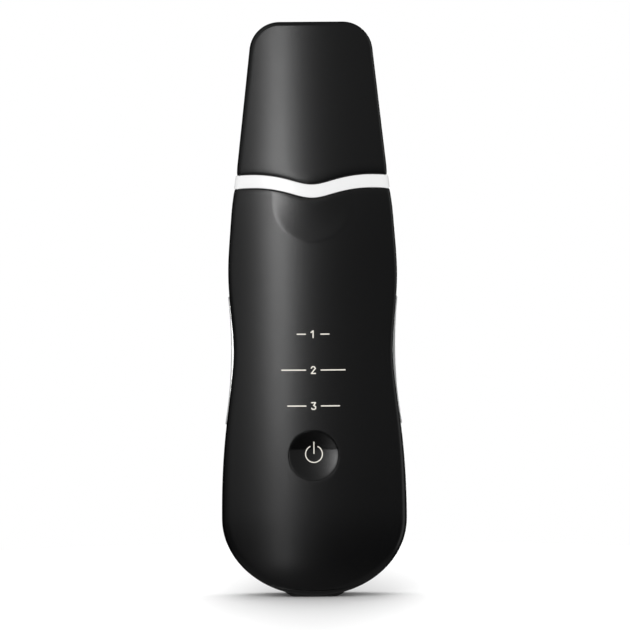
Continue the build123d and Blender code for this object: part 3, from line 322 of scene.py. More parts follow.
def quads(index, closed=False):
    """Quads between neighbours of an index grid, closed round its columns or not."""
    if closed:
        index = np.hstack([index, index[:, :1]])
    corners = index[:-1, :-1], index[:-1, 1:], index[1:, 1:], index[1:, :-1]
    return np.stack([corner.ravel() for corner in corners], axis=1)


def grid_of(x, y, z):
    """A grid of points from its three coordinates, numbers or arrays of fitting shapes."""
    return np.stack(np.broadcast_arrays(x, y, z), axis=-1)


def sheets(*grids, closed=()):
    """Stacked points of several grids, and each grid's quads into that stack."""
    points = np.concatenate([grid.reshape(-1, 3) for grid in grids])
    faces, start = [], 0
    for k, grid in enumerate(grids):
        rows, cols = grid.shape[:2]
        index = start + np.arange(rows * cols).reshape(rows, cols)
        faces.append(quads(index, closed=k in closed))
        start += rows * cols
    return points, faces


def rows_of(*parts):
    """A table of rows: outline points and inward normals in x and z, share of the wave, and depth
    under the form."""
    return np.stack(np.broadcast_arrays(*parts))


def bottom_rows(count):
    """Rows from the sole's pole to the bulb, along the half ellipse at even steps of its angle."""
    angle = np.linspace(-math.pi / 2, 0, count)
    wide, tall = size.bulb_half, size.bulb_height - size.sole_height
    across, up = np.cos(angle), np.sin(angle)
    away = np.hypot(across / wide, up / tall)
    return rows_of(wide * across, size.bulb_height + tall * up,
                   -across / wide / away, -up / tall / away, 0.0, 0.0)


def side_rows(z, lift=0.0, inset=0.0, tilt=0.0):
    """Rows at heights up the sides; tilt turns their normals, and lift moves them with the wave."""
    half = half_width(z + lift * wave(half_width(z)))
    return rows_of(half, z, -np.cos(tilt), -np.sin(tilt), lift, inset)


def tip_rows(count, inset=0.0):
    """Rows round the cap's corner, from where it leaves the taper to the flat top."""
    lean, radius = math.atan(-taper()), size.tip_radius
    middle_z = size.top - radius
    middle_x = half_width(middle_z) - radius / math.cos(lean)
    angle = np.linspace(lean, math.pi / 2, count)
    across, up = np.cos(angle), np.sin(angle)
    return rows_of(middle_x + radius * across, middle_z + radius * up, -across, -up, 0.0, inset)


def edge_radius(z, inset):
    """Radius of the rounding between a face and the sides, with a least one where rows lie deep."""
    upper = smooth((z - size.bulb_height) / (size.waist_height - size.bulb_height))
    least = 0.6
    return np.maximum(size.bulb_edge + (size.edge - size.bulb_edge) * upper - inset, least)


def edge_points(face, rows, q):
    """Points round the edge of rows: q from 0 to 1 rolls a quarter circle off the face, from 1 to 2
    crosses the side wall, and from 2 to 3 rolls on to the other face."""
    px, pz, nx, nz, lift, inset = (part[:, None] for part in rows)
    radius = edge_radius(pz, inset)
    turn = np.where(q <= 1, q, np.where(q >= 2, 3 - q, 1)) * math.pi / 2
    away = inset + radius * (1 - np.sin(turn))
    drop = inset + radius * (1 - np.cos(turn))
    x = px + nx * away
    z = pz + nz * away + lift * wave(px)
    near = depth(face, x, z) - drop
    far = drop - depth(-face, x, z)
    wall = np.clip(q - 1, 0, 1)
    y = np.where(q <= 1, near, np.where(q >= 2, far, near * (1 - wall) + far * wall))
    return grid_of(x, face * y, z)


def half_face(face, rows, end, fine, coarse, turns):
    """Right half of rows: straight from the middle line to the edge, then round it as far as q
    equals end. Columns are evenly fine as far as a fixed line and stretched beyond it."""
    px, pz, nx, nz, lift, inset = rows
    away = inset + edge_radius(pz, inset)
    reach = (px + nx * away)[:, None]
    line = np.minimum(FINE_HALF, reach * 0.6)
    x = np.hstack([
        line * np.linspace(0, 1, fine + 1),
        line + (reach - line) * np.linspace(0, 1, coarse + 1)[1:]])
    z = (pz + nz * away)[:, None] + lift[:, None] * wave(x)
    flat = grid_of(x, face * (depth(face, x, z) - inset[:, None]), z)
    q = np.broadcast_to(end, px.shape)[:, None] * np.linspace(0, 1, turns + 1)[1:]
    return np.hstack([flat, edge_points(face, rows, q)])


def mirrored(half):
    """A whole row, left to right, from the half that runs from the middle to the right."""
    return np.hstack([half[:, :0:-1] * (-1, 1, 1), half])


def tube(rows):
    """Rows that go all the way round: over the front from left to right, and back behind."""
    front, back = (mirrored(half_face(face, rows, MID_WALL, *TUBE_NET)) for face in (FRONT, BACK))
    return np.hstack([front, back[:, -2:0:-1]])


def parting_turn(rows, gap):
    """Where round the edge of each row the line between the shells lies, found by halving."""
    low, high = np.zeros((rows.shape[1], 1)), np.full((rows.shape[1], 1), 3.0)
    for _ in range(24):
        middle = (low + high) / 2
        point = edge_points(FRONT, rows, middle)
        before = point[..., 1] < parting(point[..., 2]) - gap
        low, high = np.where(before, middle, low), np.where(before, high, middle)
    return ((low + high) / 2)[:, 0]


# ---- Finishes


class Signal:
    """A value inside a finish. Arithmetic on it adds Math nodes, so patterns read as formulas."""

    def __init__(self, finish, socket):
        self.finish, self.socket = finish, socket

    def math(self, operation, *others):
        """A Math node of this value and others."""
        inputs = dict(enumerate((self, *others)))
        return self.finish.node("ShaderNodeMath", {"operation": operation}, inputs)

    def __add__(self, other):
        return self.math("ADD", other)

    def __sub__(self, other):
        return self.math("SUBTRACT", other)

    def __rsub__(self, other):
        return (self * -1.0) + other

    def __mul__(self, other):
        return self.math("MULTIPLY", other)

    def __pow__(self, other):
        return self.math("POWER", other)

    __radd__, __rmul__ = __add__, __mul__

    def step(self, low, high):
        """A soft step from 0 at low to 1 at high."""
        return self.finish.node(
            "ShaderNodeMapRange", {"interpolation_type": "SMOOTHSTEP"},
            {"Value": self, "From Min": low, "From Max": high})


class Finish:
    """A node tree of a material or of the world, built from values and signals."""

    def __init__(self, owner):
        owner.use_nodes = True
        self.owner, self.tree = owner, owner.node_tree

    def node(self, kind, settings=None, inputs=None, output=0):
        """A node of a type: its settings first, then the values or links of its sockets."""
        made = self.tree.nodes.new(kind)
        for name, value in (settings or {}).items():
            setattr(made, name, value)
        for name, value in (inputs or {}).items():
            if isinstance(value, Signal):
                self.tree.links.new(value.socket, made.inputs[name])
            else:
                made.inputs[name].default_value = value
        return Signal(self, made.outputs[output])

    def several(self, names, kind, inputs=None):
        """Several outputs of one node."""
        made = self.node(kind, {}, inputs).socket.node
        return [Signal(self, made.outputs[name]) for name in names]

    def place(self, stretch=None):
        """Object coordinates, stretched along the axes where that is asked."""
        at = self.node("ShaderNodeTexCoord", output="Object")
        if stretch is None:
            return at
        return self.node("ShaderNodeMapping", {}, {"Vector": at, "Scale": stretch})

    def noise(self, size, detail=2.0, stretch=None):
        """Noise whose spots are about size millimetres."""
        return self.node(
            "ShaderNodeTexNoise", {},
            {"Vector": self.place(stretch), "Scale": 1 / (size * MM), "Detail": detail})

    def blend(self, share, *colours):
        """A colour between two colours, each given as numbers or as a signal."""
        first, second = (
            colour if isinstance(colour, Signal) else (*colour, 1.0) for colour in colours)
        return self.node(
            "ShaderNodeMix", {"data_type": "RGBA"}, {"Factor": share, 6: first, 7: second},
            output=2)

    def tones(self, share, colour, darker, lighter):
        """A colour between two tones of it, given as factors."""
        return self.blend(share, scaled(colour, darker), scaled(colour, lighter))

    def bump(self, height, lift):
        """A Bump node whose height of 1 is lift millimetres."""
        return self.node("ShaderNodeBump", {}, {"Height": height, "Distance": lift * MM})

    def shade(self, **values):
        """Sets or links the Principled shader's sockets, named with underscores for blanks."""
        shader = self.tree.nodes["Principled BSDF"]
        for name, value in values.items():
            socket = shader.inputs[name.replace("_", " ")]
            if isinstance(value, Signal):
                self.tree.links.new(value.socket, socket)
            else:
                socket.default_value = value


def scaled(colour, factor):
    """A colour made lighter or darker."""
    return tuple(min(1.0, part * factor) for part in colour)


def recipe(shade):
    """Turns a function of a finish and its values into one of the values alone, which gives a
    function of the finish."""
    return lambda *values, **named: lambda finish: shade(finish, *values, **named)


def in_scoop(finish):
    """1 on the front face inside the thumb scoop's rim, 0 elsewhere."""
    x, y, z = finish.several("XYZ", "ShaderNodeSeparateXYZ", {0: finish.place()})
    under = (z - size.scoop_height * MM).math("MINIMUM", 0.0)
    away = (x ** 2 + under ** 2) ** 0.5
    rim, soft, front, behind = size.scoop_radius * MM, 0.4 * MM, -4 * MM, -2 * MM
    return (1 - away.step(rim - soft, rim)) * (1 - y.step(front, behind))


@recipe
def moulded(finish, colour, roughness, grain=0.18, lift=0.004, spread=0.05, mottle=0.12, coat=0.0,
            polish=0.0):
    """Moulded plastic, rubber or resin: a fine spark-eroded grain, and gloss that varies softly;
    polish takes roughness off inside the thumb scoop."""
    broad, fine = finish.noise(14.0, 1.0), finish.noise(grain, 2.0)
    smudge = finish.noise(5.0, 1.0)
    if polish:
        smudge = smudge - in_scoop(finish) * (polish / (2 * spread))
    finish.shade(
        Base_Color=finish.tones(broad, colour, 1 - mottle, 1 + mottle),
        Roughness=roughness + (smudge - 0.5) * (2 * spread),
        Normal=finish.bump(fine, lift),
        Coat_Weight=coat, Coat_Roughness=0.12)


@recipe
def metallic(finish, colour, roughness, stretch=(1.0, 1.0, 0.04), line=0.12, lift=0.002,
             spread=0.06, metal=1.0):
    """Metal: fine drawn lines along the stretched axis, and a slightly uneven polish. Where metal
    is below 1, the rest is a plain pale colour, a painted reflection of the white surroundings.
    """
    lines, cloud = finish.noise(line, 3.0, stretch), finish.noise(6.0, 3.0)
    finish.shade(
        Base_Color=finish.tones(cloud, colour, 0.94, 1.05),
        Metallic=metal,
        Roughness=roughness + (lines - 0.5) * (2 * spread),
        Normal=finish.bump(lines, lift))


@recipe
def inlay(finish, colour, glow):
    """A milky light inlay: a faintly cloudy white that glows a little."""
    cloud = finish.noise(0.8, 2.0)
    finish.shade(
        Base_Color=finish.tones(cloud, colour, 0.94, 1.05),
        Roughness=0.3 + cloud * 0.08,
        Emission_Color=(*colour, 1.0), Emission_Strength=glow)


@recipe
def speckled(finish, colour, second, size, roughness):
    """Pressed powder or foam: spots of a second tone, and a pitted surface."""
    spots = finish.noise(size, 4.0)
    finish.shade(
        Base_Color=finish.blend(spots.step(0.42, 0.62), colour, second),
        Roughness=roughness + spots * 0.1,
        Normal=finish.bump(spots, size * 0.12))


@recipe
def board(finish, colour, copper):
    """A circuit board: solder mask over faint tracks that run up and down, with small pads."""
    tracks = finish.node(
        "ShaderNodeTexWave", {"bands_direction": "X", "wave_profile": "SIN"},
        {"Vector": finish.place(), "Scale": 260.0, "Distortion": 5.0, "Detail": 1.0,
         "Detail Scale": 0.6}, output=1)
    pads = finish.node("ShaderNodeTexVoronoi", {}, {"Vector": finish.place(), "Scale": 420.0})
    ring = 1 - pads.step(0.10, 0.16)
    track = tracks.step(0.62, 0.72)
    mask = finish.tones(track, colour, 1.0, 1.9)
    finish.shade(
        Base_Color=finish.blend(ring, mask, copper), Roughness=0.3 + ring * 0.15,
        Metallic=ring * 0.8,
        Normal=finish.bump(track, 0.03))


@recipe
def wound(finish, colour, pitch):
    """Enamelled wire, wound layer by layer: round ridges at the wire's pitch, and lacquer, with
    painted shade that darkens the colour towards the valleys between the turns.
    """
    turns = finish.node(
        "ShaderNodeTexWave", {"bands_direction": "Y", "wave_profile": "SIN"},
        {"Vector": finish.place(), "Scale": 0.314 / (pitch * MM)}, output=1)
    finish.shade(
        # painted shade: the colour follows the ridges and is darker in the valleys between the
        # turns
        Base_Color=finish.tones(turns, colour, 0.45, 1.15), Metallic=0.6, Coat_Weight=0.5,
        Roughness=0.32 + turns * 0.08, Normal=finish.bump(turns, 0.08))


def finishes():
    """What each slot of the record is finished with, as a function of a finish."""
    look = bpy.context.scene.scrubber_finish
    black, satin = tuple(look.black), look.black_roughness
    return {
        "handle_black": moulded(black, satin, spread=0.006, mottle=0.06, polish=look.polish),
        "cap_black": moulded(black, satin, spread=0.006, mottle=0.06),
        "band_white": moulded(
            tuple(look.white), 0.24, lift=0.001, spread=0.03, mottle=0.01, coat=0.4),
        "button_black": moulded(scaled(black, 0.3), 0.2, lift=0.001, spread=0.008),
        "light_inlay": inlay(tuple(look.inlay), 0.02),
        # the electrode steel is only partly metal: its pale diffuse part is a painted reflection of
        # the white surroundings
        "electrode_steel": metallic(
            (0.90, 0.90, 0.90), 0.24, line=0.09, lift=0.0004, spread=0.03, metal=0.55),
        "foot_black": moulded((0.004, 0.004, 0.0042), 0.62, grain=0.35, lift=0.02),
        "soft_black": moulded((0.014, 0.014, 0.015), 0.7, grain=0.25, lift=0.01, spread=0.08),
        "soft_grey": moulded((0.28, 0.28, 0.29), 0.72, grain=0.25, lift=0.01, spread=0.06),
        "neck_black": moulded((0.012, 0.012, 0.013), 0.22, lift=0.001),
        # the blade steel is only partly metal too: its pale diffuse part is a painted reflection
        "blade_steel": metallic(
            (0.60, 0.60, 0.61), 0.22, stretch=(0.03, 1.0, 1.0), spread=0.04, metal=0.55),
        "horn_alloy": metallic(
            (0.66, 0.67, 0.69), 0.3, stretch=(0.05, 0.05, 1.0), line=0.14, lift=0.003),
        "piezo_ceramic": speckled((0.42, 0.36, 0.28), (0.36, 0.31, 0.25), 0.35, 0.6),
        "contact_brass": metallic((0.74, 0.56, 0.26), 0.28),
        "screw_steel": metallic((0.45, 0.45, 0.46), 0.34, stretch=(1.0, 0.1, 1.0), line=0.1),
        "board_green": board((0.015, 0.09, 0.035), (0.72, 0.58, 0.35)),
        "chip_black": speckled((0.018,) * 3, (0.028,) * 3, 0.12, 0.55),
        "winding_copper": wound((0.62, 0.30, 0.12), 0.3),
        "can_metal": metallic((0.60, 0.60, 0.62), 0.26, line=0.1, lift=0.001),
        "led_resin": inlay((0.82, 0.78, 0.52), 0.3),
        "tray_grey": moulded((0.09, 0.09, 0.10), 0.5, grain=0.3, lift=0.01),
        "cell_foil": metallic(
            (0.5, 0.52, 0.55), 0.36, stretch=None, line=1.4, lift=0.05),
        "foam_grey": speckled((0.11,) * 3, (0.05,) * 3, 0.5, 0.9),
        "lead_red": moulded((0.42, 0.03, 0.02), 0.4, grain=0.5, lift=0.004),
        "plug_white": moulded((0.72, 0.70, 0.62), 0.45, grain=0.3, lift=0.006, mottle=0.04),
    }


def finish_of(slot):
    """The material of a slot, made when it is first asked for."""
    name = slot + "_finish"
    if name not in bpy.data.materials:
        finishes()[slot](Finish(bpy.data.materials.new(name)))
    return bpy.data.materials[name]


# ---- Pieces


def widened(rows, more):
    """Rows set deeper under the form."""
    deeper = rows.copy()
    deeper[5] += more
    return deeper


def rolled(radius, edge, count):
    """Radii and depths of points round a small edge, a quarter circle that ends at radius. It comes
    from inside radius, or from outside it where edge is negative."""
    turn = np.linspace(0, 1, count + 1)[1:] * math.pi / 2
    return radius - edge + edge * np.sin(turn), abs(edge) * (1 - np.cos(turn))


def shell(face, gap, spacing, fine, coarse, turns):
    """One handle shell: rows from the sole's pole up to the wave, and round to the line between the
    shells, with its two free edges turned in by a wall's depth."""
    base = size.neck_height - size.band_drop
    low, mid = size.bulb_height, size.shoulder_height + 4
    lower = np.arange(low + spacing, mid, spacing)
    upper = np.linspace(mid, base - 0.25, int((base - mid) / (spacing * 0.55)))
    curl, reach = 0.12, 1.6
    curled = curl * np.clip((upper - base + reach) / reach, 0, 1) ** 2
    rows = np.hstack([
        bottom_rows(56), side_rows(lower),
        side_rows(upper, lift=smooth((upper - mid) / (base - mid)), inset=curled),
        side_rows(base - np.array([0.12, 0.04, 0.0, 0.0]), lift=1.0,
                  inset=np.array([0.14, 0.22, 0.34, 1.3]))])
    turn = parting_turn(rows, 0.0 if face == BACK else gap)
    end = (turn if face == FRONT else 3 - turn)[:, None]
    edge, wall, small = 0.2, 1.2, 0.01
    pace = np.linalg.norm(
        edge_points(face, rows, end) - edge_points(face, rows, end - small), axis=-1) / small
    half = half_face(face, rows, (end - edge / pace)[:, 0], fine, coarse, turns)
    lip = [edge_points(face, widened(rows, edge * (1 - math.cos(k))),
                       end - edge * (1 - math.sin(k)) / pace)
           for k in np.array([0.3, 0.6, 0.85, 1.0]) * math.pi / 2]
    lip.append(edge_points(face, widened(rows, wall), end))
    grid = mirrored(np.hstack([half, *lip]))
    if face == FRONT:
        grid[..., 1] += scoop(grid[..., 0], grid[..., 2])
    return grid


def hole_ring(grid):
    """The part of a front shell round its button hole, redrawn: the block of the grid that holds
    the hole becomes rings that pass from the block's edge to the circle, over a small round edge
    and inwards. Gives the rings, and the quads of the grid outside the block."""
    height, radius = size.button_height, size.button_radius + size.button_gap
    edge, span, steps = 0.14, radius + 3.2, 12
    level, across = grid[:, grid.shape[1] // 2, 2], grid[len(grid) // 4, :, 0]
    rows, cols = (np.flatnonzero(np.abs(off) < span) for off in (level - height, across))
    r0, r1, c0, c1 = rows[0], rows[-1], cols[0], cols[-1]
    block = np.concatenate([
        grid[r0, c0:c1], grid[r0:r1, c1], grid[r1, c1:c0:-1], grid[r1:r0:-1, c0]])
    angle = np.arctan2(block[:, 2] - height, block[:, 0])
    t = np.linspace(0, 1, steps + 1)[:, None]
    x = block[:, 0] * (1 - t) + (radius + edge) * np.cos(angle) * t
    z = block[:, 2] * (1 - t) + (height + (radius + edge) * np.sin(angle)) * t
    face = grid_of(x, front_surface(x, z), z)
    face[0] = block
    radii, drops = rolled(radius, -edge, 4)
    wall = disc(height, np.r_[radii, radius, radius], np.r_[drops, 1.5, 3.0],
                front_surface, angle)
    quad = quads(np.arange(grid[..., 0].size).reshape(grid.shape[:2]))
    quad = quad.reshape(grid.shape[0] - 1, grid.shape[1] - 1, 4)
    keep = np.ones(quad.shape[:2], bool)
    keep[r0:r1, c0:c1] = False
    return np.concatenate([face, wall]), quad[keep]


def stroke(place, length, width, surface, proud, steps=10, across=6, blunt=12):
    """A slightly pillowed stroke with round ends on a surface. Place turns distances along and
    across its middle line into x and z, and blunt says how late the pillow falls at the ends."""
    v = np.linspace(-1, 1, 2 * across + 1)[:, None]
    u = np.linspace(-1, 1, steps + 1)
    bulge = np.sqrt(np.maximum(1 - v**2, 0)) * width / 2
    x, z = place(u * (length / 2 + bulge), v * width / 2)
    pillow = np.minimum(1 - np.abs(v) ** 3, 1 - np.abs(u) ** blunt)
    return grid_of(x, surface(x, z) - proud * (0.8 + 0.2 * pillow), z)


def straight(start, end, *rest, **others):
    """A straight stroke from one point to another, each given as x and z."""
    start, end = np.array(start, float), np.array(end, float)
    length, middle = np.hypot(*(end - start)), (start + end) / 2
    along = (end - start) / length

    def place(run, side):
        return (middle[0] + along[0] * run - along[1] * side,
                middle[1] + along[1] * run + along[0] * side)
    return stroke(place, length, *rest, **others)[::-1]


def disc(height, radii, offsets, surface, angle, middle=0.0):
    """Rings round a point at given radii and angles, each set off a surface by its own amount."""
    radii, offsets = np.array(radii)[:, None], np.array(offsets)[:, None]
    x, z = middle + radii * np.cos(angle), height + radii * np.sin(angle)
    return grid_of(x, surface(x, z) + offsets, z)


def turns_of(sides):
    """Angles of a circle's points."""
    return np.linspace(0, 2 * math.pi, sides, endpoint=False)


def front_surface(x, z):
    """Y of the front face, with the thumb scoop."""
    return scoop(x, z) - depth(FRONT, x, z)


def dish_surface(x, z):
    """Y of the button: a shallow bowl let into the front face, with a softly broken rim, that leans
    back to a level fold and forwards again over it."""
    rise = z - size.button_height
    low = size.dish_depth * (1 - (np.hypot(x, rise) / size.dish_radius) ** 2)
    rim = 0.05
    over = rise - size.fold_height
    share = np.where(over > 0, over / (size.button_radius - size.fold_height),
                     -over / (size.button_radius + size.fold_height))
    fold = size.fold_depth * np.maximum(1 - share, 0)
    return size.dish_step + (low + np.sqrt(low**2 + rim**2)) / 2 + fold - depth(FRONT, x, z)


class SCRUBBER_OT_front_shell(Operator):
    """Front shell: the front face with thumb scoop and button hole, rolled to the parting line"""

    bl_idname = "scrubber.front_shell"
    bl_label = "Front shell"

    def execute(self, context):
        grid = shell(FRONT, size.parting_gap, 0.45, 48, 16, 22)
        ring, kept = hole_ring(grid)
        points, (_, hole) = sheets(grid, ring, closed=(1,))
        build("front_shell_skin", "front_shell", "handle_black", points, [kept, hole])
        return {"FINISHED"}


class SCRUBBER_OT_back_shell(Operator):
    """Back shell: the back face rolled to the parting line, raised over the foot pad and left open
    at the port
    """

    bl_idname = "scrubber.back_shell"
    bl_label = "Back shell"

    def execute(self, context):
        grid = shell(BACK, 0.0, 0.8, 20, 14, 30)[:, ::-1]
        x, y, z = grid[..., 0], grid[..., 1], grid[..., 2]
        pad_high = np.array(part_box("foot_pad")[1]) / MM
        port_low, port_high = (np.array(corner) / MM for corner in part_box("usb_socket"))
        margin, fade, lift, low = 0.5, 0.9, 1.5, 4.0
        z += lift * (smooth((pad_high[0] - margin - np.abs(x)) / fade)
                     * smooth((pad_high[1] - margin - np.abs(y)) / fade) * smooth(low - z))
        points, (faces,) = sheets(grid)
        centre = points[faces].mean(axis=1)
        room, mouth_top = 1.0, 4.5
        mouth = ((np.abs(centre[:, 0]) < port_high[0] + room) & (centre[:, 1] > port_low[1] - room)
                 & (centre[:, 1] < port_high[1] + room) & (centre[:, 2] < mouth_top))
        build("back_shell_skin", "back_shell", "handle_black", points, [faces[~mouth]])
        return {"FINISHED"}


class SCRUBBER_OT_band(Operator):
    """White band: a ring that stands a little proud, between two wavy lines, with soft edges"""

    bl_idname = "scrubber.band"
    bl_label = "White band"

    def execute(self, context):
        low = size.neck_height - size.band_drop + size.band_gap / 2
        high = low + size.band_height - size.band_gap / 2
        edge_z = np.array([0.0, 0.0, 0.03, 0.10, 0.20, 0.34])
        edge_in = np.array([1.3, 0.12, 0.0, -0.08, -0.13, -0.15]) + 0.15 - size.band_proud
        margin, rows = 0.6, 8
        z = np.r_[
            low + edge_z, np.linspace(low + margin, high - margin, rows), (high - edge_z)[::-1]]
        inset = np.r_[edge_in, np.full(rows, -size.band_proud), edge_in[::-1]]
        grid = tube(side_rows(z, lift=1.0, inset=inset))
        build("white_band", "trim_ring", "band_white", *sheets(grid, closed=(0,)))
        return {"FINISHED"}


class SCRUBBER_OT_cap(Operator):
    """Cap: a thin shell from the wavy line to the flat tip, outside, rim and inside in one"""

    bl_idname = "scrubber.cap"
    bl_label = "Cap"

    def execute(self, context):
        base = size.neck_height - size.band_drop + size.band_height + size.band_gap
        lean = math.atan(-taper())
        corner = size.top - size.tip_radius * (1 - math.sin(lean))
        z = np.linspace(base + 0.35, corner, 70)[:-1]
        share = (z - base) / (corner - base)
        blend = 1 - smooth(share * 1.6)
        curl, reach = 0.20, 3.0
        curled = curl * np.clip(1 - (z - base) / reach, 0, 1) ** 2
        rim_z = base + np.array([0.0, 0.0, 0.03, 0.10, 0.20])
        rim_in = np.array([size.cap_wall, 0.50, 0.36, 0.27, 0.22])
        outer = np.hstack([
            side_rows(rim_z, 1.0, rim_in), side_rows(z, blend, curled, lean * share), tip_rows(24)])
        inner = np.hstack([
            side_rows(z, blend, size.cap_wall, lean * share), tip_rows(12, size.cap_wall)])
        body = tube(np.hstack([inner[:, ::-1], outer]))
        turns = TUBE_NET[-1]
        x = half_face(FRONT, outer[:, -1:], MID_WALL, *TUBE_NET)[0, :-turns, 0]
        x = np.r_[-x[:0:-1], x]
        q = np.linspace(0, 3, 2 * turns + 1)[None, :]
        top, under = (
            np.swapaxes(edge_points(FRONT, rows_of(x, size.top, 0.0, -1.0, 0.0, inset), q), 0, 1)
            for inset in (0.0, size.cap_wall))
        build("cap_shell", "protective_cap", "cap_black",
              *sheets(body, top, under[:, ::-1], closed=(0,)), body="cap")
        return {"FINISHED"}


class SCRUBBER_OT_button(Operator):
    """Power button: a round key with a dished face, and the light ring with its bar"""

    bl_idname = "scrubber.button"
    bl_label = "Power button"

    def execute(self, context):
        radius, height, edge, flat = size.button_radius, size.button_height, 0.08, 44
        radii, drops = rolled(radius, edge, 5)
        key = disc(
            height, np.r_[np.linspace(0, radius - edge, flat), radii, radius, radius + 1.0],
            np.r_[np.zeros(flat), drops, 1.6, 1.6], dish_surface, turns_of(128))
        build("button_key", "power_button", "button_black", *sheets(key[::-1], closed=(0,)),
              body="button")

        width, proud = size.icon_stroke, 0.03
        middle, height = size.icon_radius - width / 2, height + size.icon_rise

        def round_the_ring(run, side):
            angle = 1.5 * math.pi + run / middle
            return (middle + side) * np.cos(angle), height + (middle + side) * np.sin(angle)
        ring = stroke(round_the_ring, 2 * middle * (math.pi - size.icon_gap) - width, width,
                      dish_surface, proud, steps=64, blunt=40)
        bar = straight((0, height + width / 2), (0, height + size.icon_bar - width / 2), width,
                       dish_surface, proud)
        build("button_light", "power_icon", "light_inlay", *sheets(ring, bar), body="button")
        return {"FINISHED"}


class SCRUBBER_OT_legends(Operator):
    """Lit legends: three figures, each between two dashes, flush in the front shell"""

    bl_idname = "scrubber.legends"
    bl_label = "Legends"

    def execute(self, context):
        figures = (  # the width with the dashes, and strokes within a figure of height 1
            (9.6, [[(-0.3, 0.26), (0.0, 0.5), (0.0, -0.5)]]),
            (18.8, [[(-0.3, 0.3), (-0.15, 0.5), (0.15, 0.5), (0.3, 0.25), (-0.3, -0.5),
                     (0.3, -0.5)]]),
            (15.4, [[(-0.3, 0.5), (0.3, 0.5), (0.0, 0.08)],
                    [(0.0, 0.08), (0.3, -0.1), (0.3, -0.36), (0.15, -0.5), (-0.18, -0.5),
                     (-0.3, -0.34)]]),
        )
        half, strokes, space, proud = size.legend_stroke / 2, [], 1.5, 0.02
        tall = size.legend_size - 2 * half
        inner = 0.3 * tall + space + half  # a figure is 0.6 of its height wide
        for row, (width, paths) in enumerate(figures):
            height = size.legend_top - row * size.legend_pitch
            lines = [[(x * tall, z * tall) for x, z in path] for path in paths]
            lines += [[(side * inner, 0.0), (side * (width / 2 - half), 0.0)] for side in (-1, 1)]
            for line in lines:
                for start, end in zip(line, line[1:]):
                    strokes.append(straight(
                        (start[0], start[1] + height), (end[0], end[1] + height),
                        size.legend_stroke, front_surface, proud, steps=6, across=4))
        build("legend_lights", "mode_windows", "light_inlay", *sheets(*strokes))
        return {"FINISHED"}


class SCRUBBER_OT_strips(Operator):
    """Side strips: two polished metal strips with round ends, bowed along the waist"""

    bl_idname = "scrubber.strips"
    bl_label = "Side strips"

    def execute(self, context):
        half, edge, thick, middle_y = size.strip_width / 2, 0.3, 1.25, -0.5
        low, high = size.strip_low + half, size.strip_high - half
        side, cap, flat = 60, 24, 9
        sweep = np.linspace(0, math.pi, cap, endpoint=False)
        run = np.linspace(low, high, side, endpoint=False)
        line_z = np.r_[run, np.full(cap, high), run[::-1] + (high - low) / side, np.full(cap, low)]
        angle = np.r_[np.zeros(side), sweep, np.full(side, math.pi), math.pi + sweep]
        radii, drops = rolled(half, edge, 5)
        radii = np.r_[(half - edge) * np.linspace(0, 1, flat), radii, half,
                      half * np.linspace(1, 0, 4)][:, None]
        drops = np.r_[np.zeros(flat), drops, np.full(5, thick)][:, None]
        z = line_z + radii * np.sin(angle)
        places = np.array([size.strip_low, size.waist_height, size.strip_high])
        proud, pillow = np.array([0.47, 0.79, 0.47]), 0.05
        bow = np.polyfit(places, half_width(places) + proud, 2)
        x = np.polyval(bow, z) - drops - pillow * (radii / half) ** 2
        grid = grid_of(x, middle_y + radii * np.cos(angle), z)
        for name, node, strip in (
                ("left_strip", "left_electrode", (grid * (-1, 1, 1))[:, ::-1]),
                ("right_strip", "right_electrode", grid)):
            build(name, node, "electrode_steel", *sheets(strip, closed=(0,)), crease=50)
        return {"FINISHED"}


class SCRUBBER_OT_screw_plugs(Operator):
    """Screw plugs: four soft round plugs in the back shell"""

    bl_idname = "scrubber.screw_plugs"
    bl_label = "Screw plugs"

    def execute(self, context):
        radii = [0, 0.6, 1.2, 1.62, 1.78, 1.9, 1.98, 2.0, 2.0]
        offsets = [0.05, 0.05, 0.05, 0.05, 0.042, 0.015, -0.03, -0.08, -0.4]
        spots = [(side * x, z) for side in (-1, 1) for x, z in ((20.5, 20.0), (17.5, 96.0))]
        plugs = [disc(z, radii, offsets, lambda x, z: depth(BACK, x, z), turns_of(40), middle=x)
                 for x, z in spots]
        build("screw_plug_caps", "screw_plugs", "soft_black",
              *sheets(*plugs, closed=range(len(plugs))))
        return {"FINISHED"}


class SCRUBBER_OT_inner_parts(Operator):
    """Carried-over parts: every part that keeps its own solid gets its slot's finish"""

    bl_idname = "scrubber.inner_parts"
    bl_label = "Inner parts"

    def execute(self, context):
        for name, node in frame["nodes"].items():
            if not node.hide_render:
                node.data.materials.clear()
                node.data.materials.append(finish_of(SLOT_OF[name]))
        return {"FINISHED"}


# ---- Studio


def aimed(name, data, place, aim, roll=0.0):
    """An object at a place in metres whose -Z axis points at aim, rolled about it."""
    thing = bpy.data.objects.new(name, data)
    bpy.context.scene.collection.objects.link(thing)
    turn = (Vector(aim) - Vector(place)).to_track_quat("-Z", "Y")
    thing.location = place
    thing.rotation_euler = (turn @ Quaternion((0.0, 0.0, 1.0), roll)).to_euler()
    return thing


def softbox(name, width, height, place, aim, radiance):
    """A rectangular soft light in metres, with its brightness given as radiance."""
    light = bpy.data.lights.new(name, "AREA")
    light.shape, light.size, light.size_y = "RECTANGLE", width, height
    light.energy = radiance * math.pi * width * height
    return aimed(name, light, place, aim)


